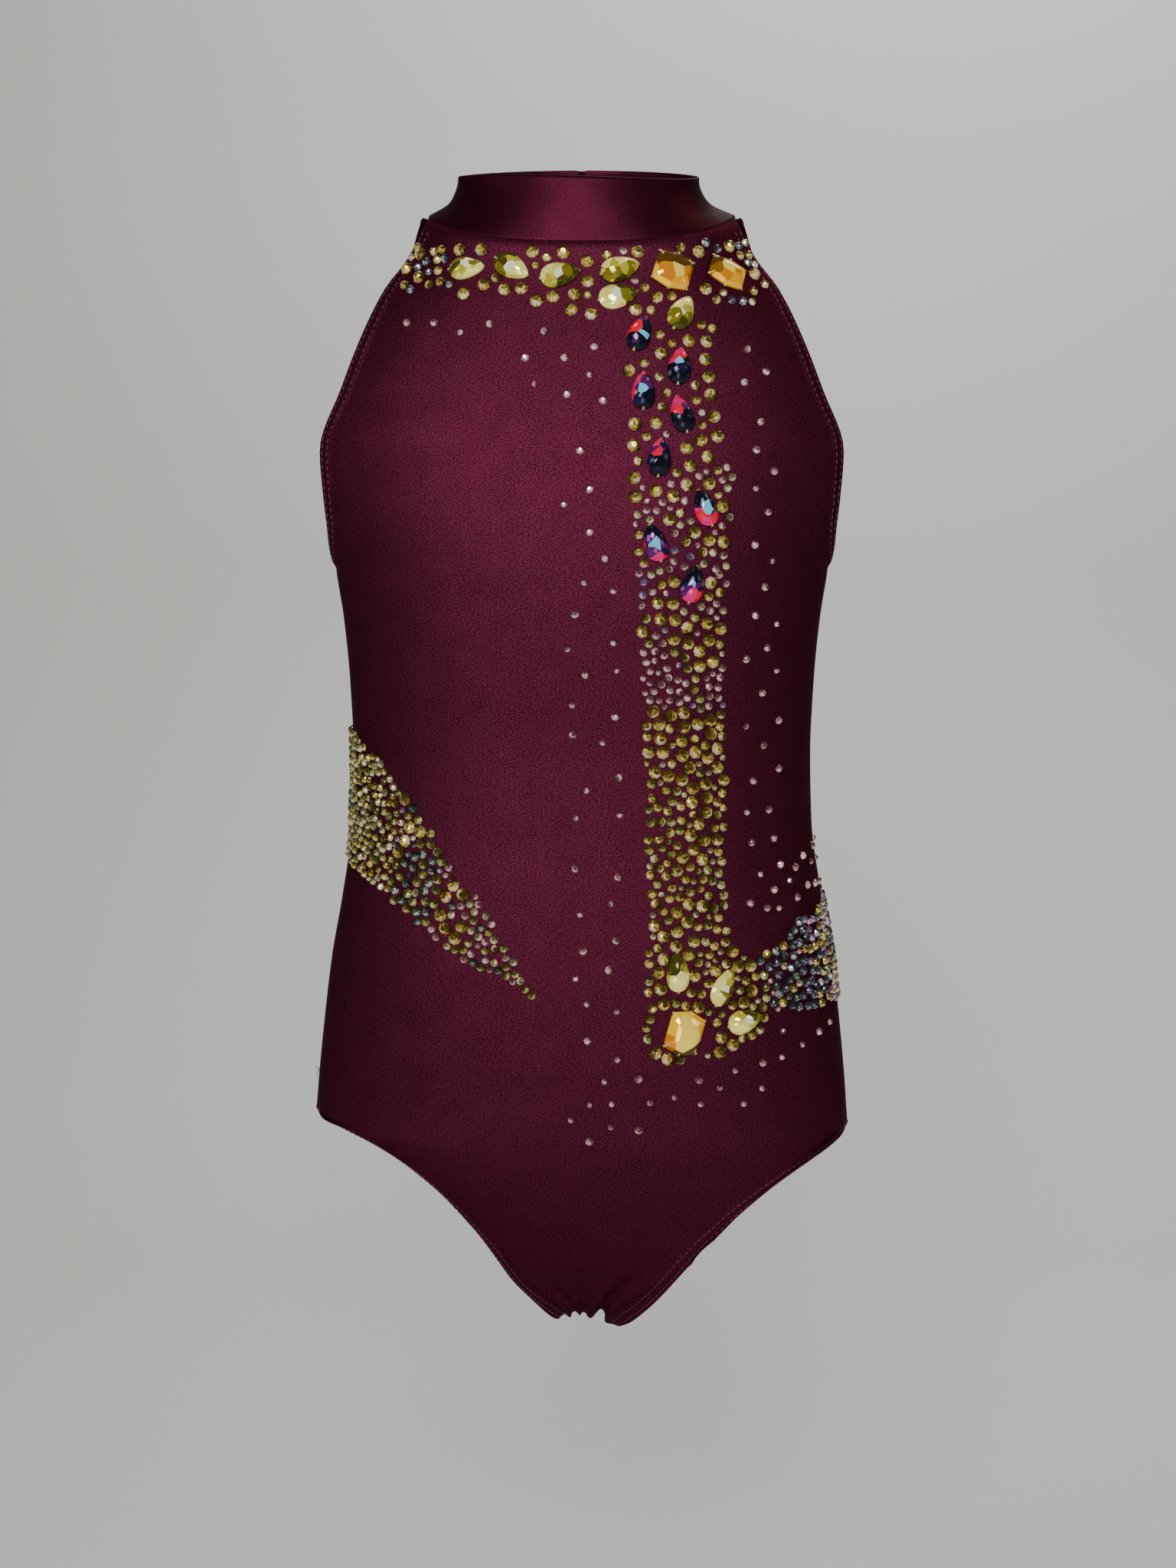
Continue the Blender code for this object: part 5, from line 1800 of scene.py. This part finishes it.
class Closure:
    """The button and its elastic loop on the ends of the collar, at the centre back."""

    button_x = 6.0
    height = 23.0
    seat = 0.5
    profile = ((0.0, 4.6), (1.6, 4.5), (2.9, 4.15), (3.8, 3.7), (4.35, 3.2), (4.5, 2.85),
               (4.35, 2.5), (3.9, 2.3), (1.3, 2.3), (1.2, 2.1), (1.2, 0.0), (0.0, 0.0))
    turn_steps = 40
    cord_radius = 0.65
    loop_radius = 2.4
    loop_points = 13
    tail_x = -5.0
    tail_points = 7
    tail_share = 0.6

    def __init__(self, collar: Sheet) -> None:
        """Keep a search tree of the collar's outer face."""
        self.tree = Skin.face_tree(collar.outer)

    def on_collar(self, x: float, z: float, lift: float) -> tuple[Vector, Vector]:
        """A place on the back of the collar, lifted off it, and the normal there."""
        start = Vector((x, RAY_START, z)) * MM
        hit, normal, _, _ = self.tree.ray_cast(start, Vector((0.0, -1.0, 0.0)))
        if normal.y < 0.0:
            normal = -normal
        return hit + normal * lift * MM, normal

    def button(self) -> Piece:
        """Turn the button from its profile and seat it on its shank."""
        mesh = bpy.data.meshes.new("shank_button")
        mesh.from_pydata([(r * MM, 0.0, h * MM) for r, h in self.profile],
                         [(k, k + 1) for k in range(len(self.profile) - 1)], [])
        piece = linked("shank_button", mesh)
        select_only(piece)
        turn = piece.modifiers.new("turned", "SCREW")
        turn.steps = turn.render_steps = self.turn_steps
        turn.use_merge_vertices = True
        turn.merge_threshold = WELD
        bpy.ops.object.modifier_apply(modifier="turned")
        place, normal = self.on_collar(self.button_x, self.height, self.seat)
        stand = normal.to_track_quat("Z", "Y").to_matrix().to_4x4()
        piece.data.transform(Matrix.Translation(place) @ stand)
        bpy.ops.object.shade_smooth_by_angle(angle=math.radians(40))
        return piece

    def loop(self) -> Piece:
        """Lay the elastic loop from the collar's other end round the button's shank."""
        lift = self.seat + self.cord_radius
        reach = self.loop_radius
        half_turn = [math.radians(90 - 15 * k) for k in range(self.loop_points)]
        tail = np.linspace(self.tail_x, self.tail_share * self.button_x, self.tail_points)
        route = [(x, reach) for x in tail]
        route += [(self.button_x + reach * math.cos(a), reach * math.sin(a)) for a in half_turn]
        route += [(x, -reach) for x in tail[::-1]]
        bpy.ops.curve.primitive_nurbs_path_add()
        cord = bpy.context.active_object
        cord.name = cord.data.name = "elastic_cord"
        cord.data.splines.clear()
        spline = cord.data.splines.new("POLY")
        spline.points.add(len(route) - 1)
        for point, (x, z) in zip(spline.points, route):
            point.co = (*self.on_collar(x, self.height + z, lift)[0], 1.0)
        cord.data.bevel_depth = self.cord_radius * MM
        cord.data.bevel_resolution = 3
        cord.data.use_fill_caps = True
        cord.location = (0.0, 0.0, 0.0)
        select_only(cord)
        bpy.ops.object.convert(target="MESH")
        bpy.ops.object.shade_smooth_by_angle(angle=math.radians(50))
        return bpy.context.active_object


@dataclass(frozen=True)
class Lamp:
    """An area lamp: where it is, where it points, its size, power and colour."""

    name: str
    place: Triple
    target: Triple
    size: float
    power: float
    colour: Triple = (1.0, 1.0, 1.0)


LAMPS = (
    Lamp("key_lamp", (-0.16, -1.75, 0.48), (0.0, 0.0, -0.20), 0.75, 30.0, (1.0, 0.985, 0.96)),
    Lamp("left_lamp", (-1.7, -0.8, 0.3), (0.0, 0.0, -0.25), 0.6, 4.6),
    Lamp("right_lamp", (1.7, -0.8, 0.3), (0.0, 0.0, -0.25), 0.6, 2.2),
    Lamp("low_lamp", (0.15, -1.35, -0.72), (0.02, 0.0, -0.52), 0.5, 2.4),
    Lamp("back_lamp", (0.2, 1.15, 0.9), (0.0, 0.1, -0.25), 0.5, 5.0),
    Lamp("wall_lamp", (0.45, 0.70, 1.25), (0.4, 1.7, 0.1), 1.4, 25.0, (1.0, 1.0, 0.975)),
)


class Studio:
    """The camera, lamps, wall and floor."""

    camera_place = (0.003, -1.085, -0.205)
    camera_tilt = 3.56
    lens = 50.0
    floor_z = -0.80
    wall_y = 1.70
    wall_bend = 0.7
    wall_size = 5.0
    wall_level = 0.6
    world_level = 0.16
    world_colour = (0.94, 0.94, 0.90)

    def __init__(self, looks: Looks) -> None:
        """Keep the materials."""
        self.looks = looks

    def camera(self) -> None:
        """Set the camera where the photo was taken from."""
        data = bpy.data.cameras.new("camera")
        data.lens = self.lens
        camera = linked("camera", data)
        camera.location = self.camera_place
        camera.rotation_euler = (math.radians(90.0 - self.camera_tilt), 0.0, 0.0)
        bpy.context.scene.camera = camera

    def lamps(self) -> None:
        """Hang the lamps and light the world."""
        for lamp in LAMPS:
            data = bpy.data.lights.new(lamp.name, "AREA")
            data.shape = "SQUARE"
            data.size = lamp.size
            data.energy = lamp.power
            data.color = lamp.colour
            piece = linked(lamp.name, data)
            piece.location = lamp.place
            piece.visible_camera = False
            way = Vector(lamp.target) - Vector(lamp.place)
            piece.rotation_euler = way.to_track_quat("-Z", "Y").to_euler()
        world = bpy.data.worlds.new("studio")
        world.use_nodes = True
        background = world.node_tree.nodes["Background"]
        background.inputs["Color"].default_value = rgb(*self.world_colour)
        background.inputs["Strength"].default_value = self.world_level
        bpy.context.scene.world = world

    def room(self) -> None:
        """Put up the pale wall that curves into the floor; it isn't part of the object."""
        reach, bend = self.wall_size / 2, self.wall_bend
        turns = np.linspace(0.0, math.pi / 2, 19)
        profile = [(-reach, self.floor_z)]
        profile += [(self.wall_y + bend * (math.sin(a) - 1.0),
                     self.floor_z + bend * (1.0 - math.cos(a))) for a in turns]
        profile.append((self.wall_y, self.floor_z + self.wall_size))
        mesh = bpy.data.meshes.new("backdrop")
        mesh.from_pydata([(x, y, z) for y, z in profile for x in (-reach, reach)], [],
                         [(2 * k, 2 * k + 1, 2 * k + 3, 2 * k + 2)
                          for k in range(len(profile) - 1)])
        mesh.shade_smooth()
        mesh.materials.append(self.looks.wall("wall_paint", self.wall_level))
        backdrop = linked("backdrop", mesh)


def finish_piece(piece: Piece, material: Material,
                 slot: str | None = None, *nodes: str) -> Piece:
    """Give a piece its material, tie it to its body, and hide the CAD nodes that it stands for."""
    piece.data.materials.clear()
    piece.data.materials.append(material)
    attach(piece, BODY)
    if nodes:
        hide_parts(*nodes)
    LOG.info("%s: %d faces", piece.name, len(piece.data.polygons))
    return piece


def build_cloth(looks: Looks) -> dict[str, list[Sheet]]:
    """Make the panels and the collar, each a sheet of cloth.

    Args:
        looks: the materials.

    Returns:
        The sheets of each CAD node.
    """
    front_cut = PanelCut(tuple(Section(*row) for row in FRONT_SECTIONS), 0.0)
    back_cut = PanelCut(tuple(Section(*row) for row in BACK_SECTIONS), math.pi)
    front, front_sheets = BodyPanel("front_cloth", front_cut, FRONT_CREASES, False).build()
    back, back_sheets = BodyPanel("back_cloth", back_cut, BACK_CREASES, True).build()
    collar, collar_sheet = StandCollar().build()
    body = looks.tricot("wine_tricot", Finish(0.52, 0.88, specular=0.15, edge=CLOTH_EDGE),
                        0.40, 0.75)
    band = looks.tricot("wine_band", Finish(0.46, 0.85, specular=0.15, edge=CLOTH_EDGE),
                        0.12, 0.25)
    parts = {"front_panel": (front, front_sheets, body), "back_panel": (back, back_sheets, body),
             "collar": (collar, [collar_sheet], band)}
    for node, (piece, sheets, material) in parts.items():
        finish_piece(piece, material, node, node)
        area = round(sum(sheet.area() for sheet in sheets), 4)
    return {node: sheets for node, (_, sheets, _) in parts.items()}


def build_stones(looks: Looks, skin: Skin, units: dict[str, Unit]) -> None:
    """Seat the large stones, then glue the small ones round them."""
    rings, threads = Copies(units["ring"]), Copies(units["stitch"])
    setter = StoneSetter(skin)
    glasses = {colour: looks.glass(colour) for colour in Looks.large_ramps}
    for stone in LARGE_STONES:
        piece = setter.seat(stone, rings, threads)
        finish_piece(piece, glasses[stone.colour], stone.colour, stone.node)
    gold = looks.plain("gold_thread", Finish(0.4, 0.3), (0.45, 0.30, 0.06), (0.95, 0.75, 0.30), 900)
    # The raised rings at the holes are pale pink metal, a painted glint for the light seen in the
    # holes.
    rim = looks.plain("hole_rim_glint", Finish(0.2, 0.8), (0.30, 0.08, 0.12), (0.95, 0.55, 0.55), 700)
    finish_piece(threads.join("stone_threads", True, 3), gold, "citrine")
    finish_piece(rings.join("stone_hole_glint_rims", True, 4), rim)
    stones = SmallStones(skin, units["round"], 20)
    for area in SCATTERS:
        LOG.info("%s: %d of %d stones", area.name, stones.fill(area), area.count)
    for seed, (colour, copies) in enumerate(stones.sets.items(), 30):
        piece = copies.join(f"small_stones_{colour.value}", False, seed)
        finish_piece(piece, looks.small_glass(colour))


def build_sewing(looks: Looks, cloth: dict[str, list[Sheet]], units: dict[str, Unit]) -> None:
    """Sew the hems and lay the closure at the centre back."""
    sewing = Stitching(units["stitch"])
    for edge in (True, False):
        sewing.hem(cloth["front_panel"][0], edge, -1.0)
    for sheet, side in zip(cloth["back_panel"], (1.0, -1.0)):
        sewing.hem(sheet, False, side)
        sewing.slit(sheet, side)
    sewing.loose_ends(cloth["front_panel"][0])
    thread = looks.plain("wine_thread", Finish(0.55), (0.07, 0.015, 0.03), (0.17, 0.06, 0.09), 500)
    finish_piece(sewing.stitches.join("hem_stitches", True, 5), thread, "front_panel")
    closure = Closure(cloth["collar"][0])
    plastic = looks.plain("wine_plastic", Finish(0.22, coat=0.5), (0.07, 0.008, 0.025),
                          (0.11, 0.015, 0.04), 200)
    elastic = looks.plain("wine_elastic", Finish(0.7), (0.04, 0.006, 0.018),
                          (0.07, 0.012, 0.03), 1500)
    finish_piece(closure.button(), plastic, "button", "button")
    finish_piece(closure.loop(), elastic, "button_loop", "button_loop")


def main() -> None:
    """Build every piece in order, then the studio."""
    logging.basicConfig(level=logging.INFO, format="%(name)s %(message)s")
    looks = Looks()
    cloth = build_cloth(looks)
    skin = Skin(cloth["front_panel"], cloth["back_panel"])
    units = small_units()
    build_stones(looks, skin, units)
    build_sewing(looks, cloth, units)
    studio = Studio(looks)
    studio.camera()
    studio.lamps()
    studio.room()


if __name__ == "__main__":
    main()
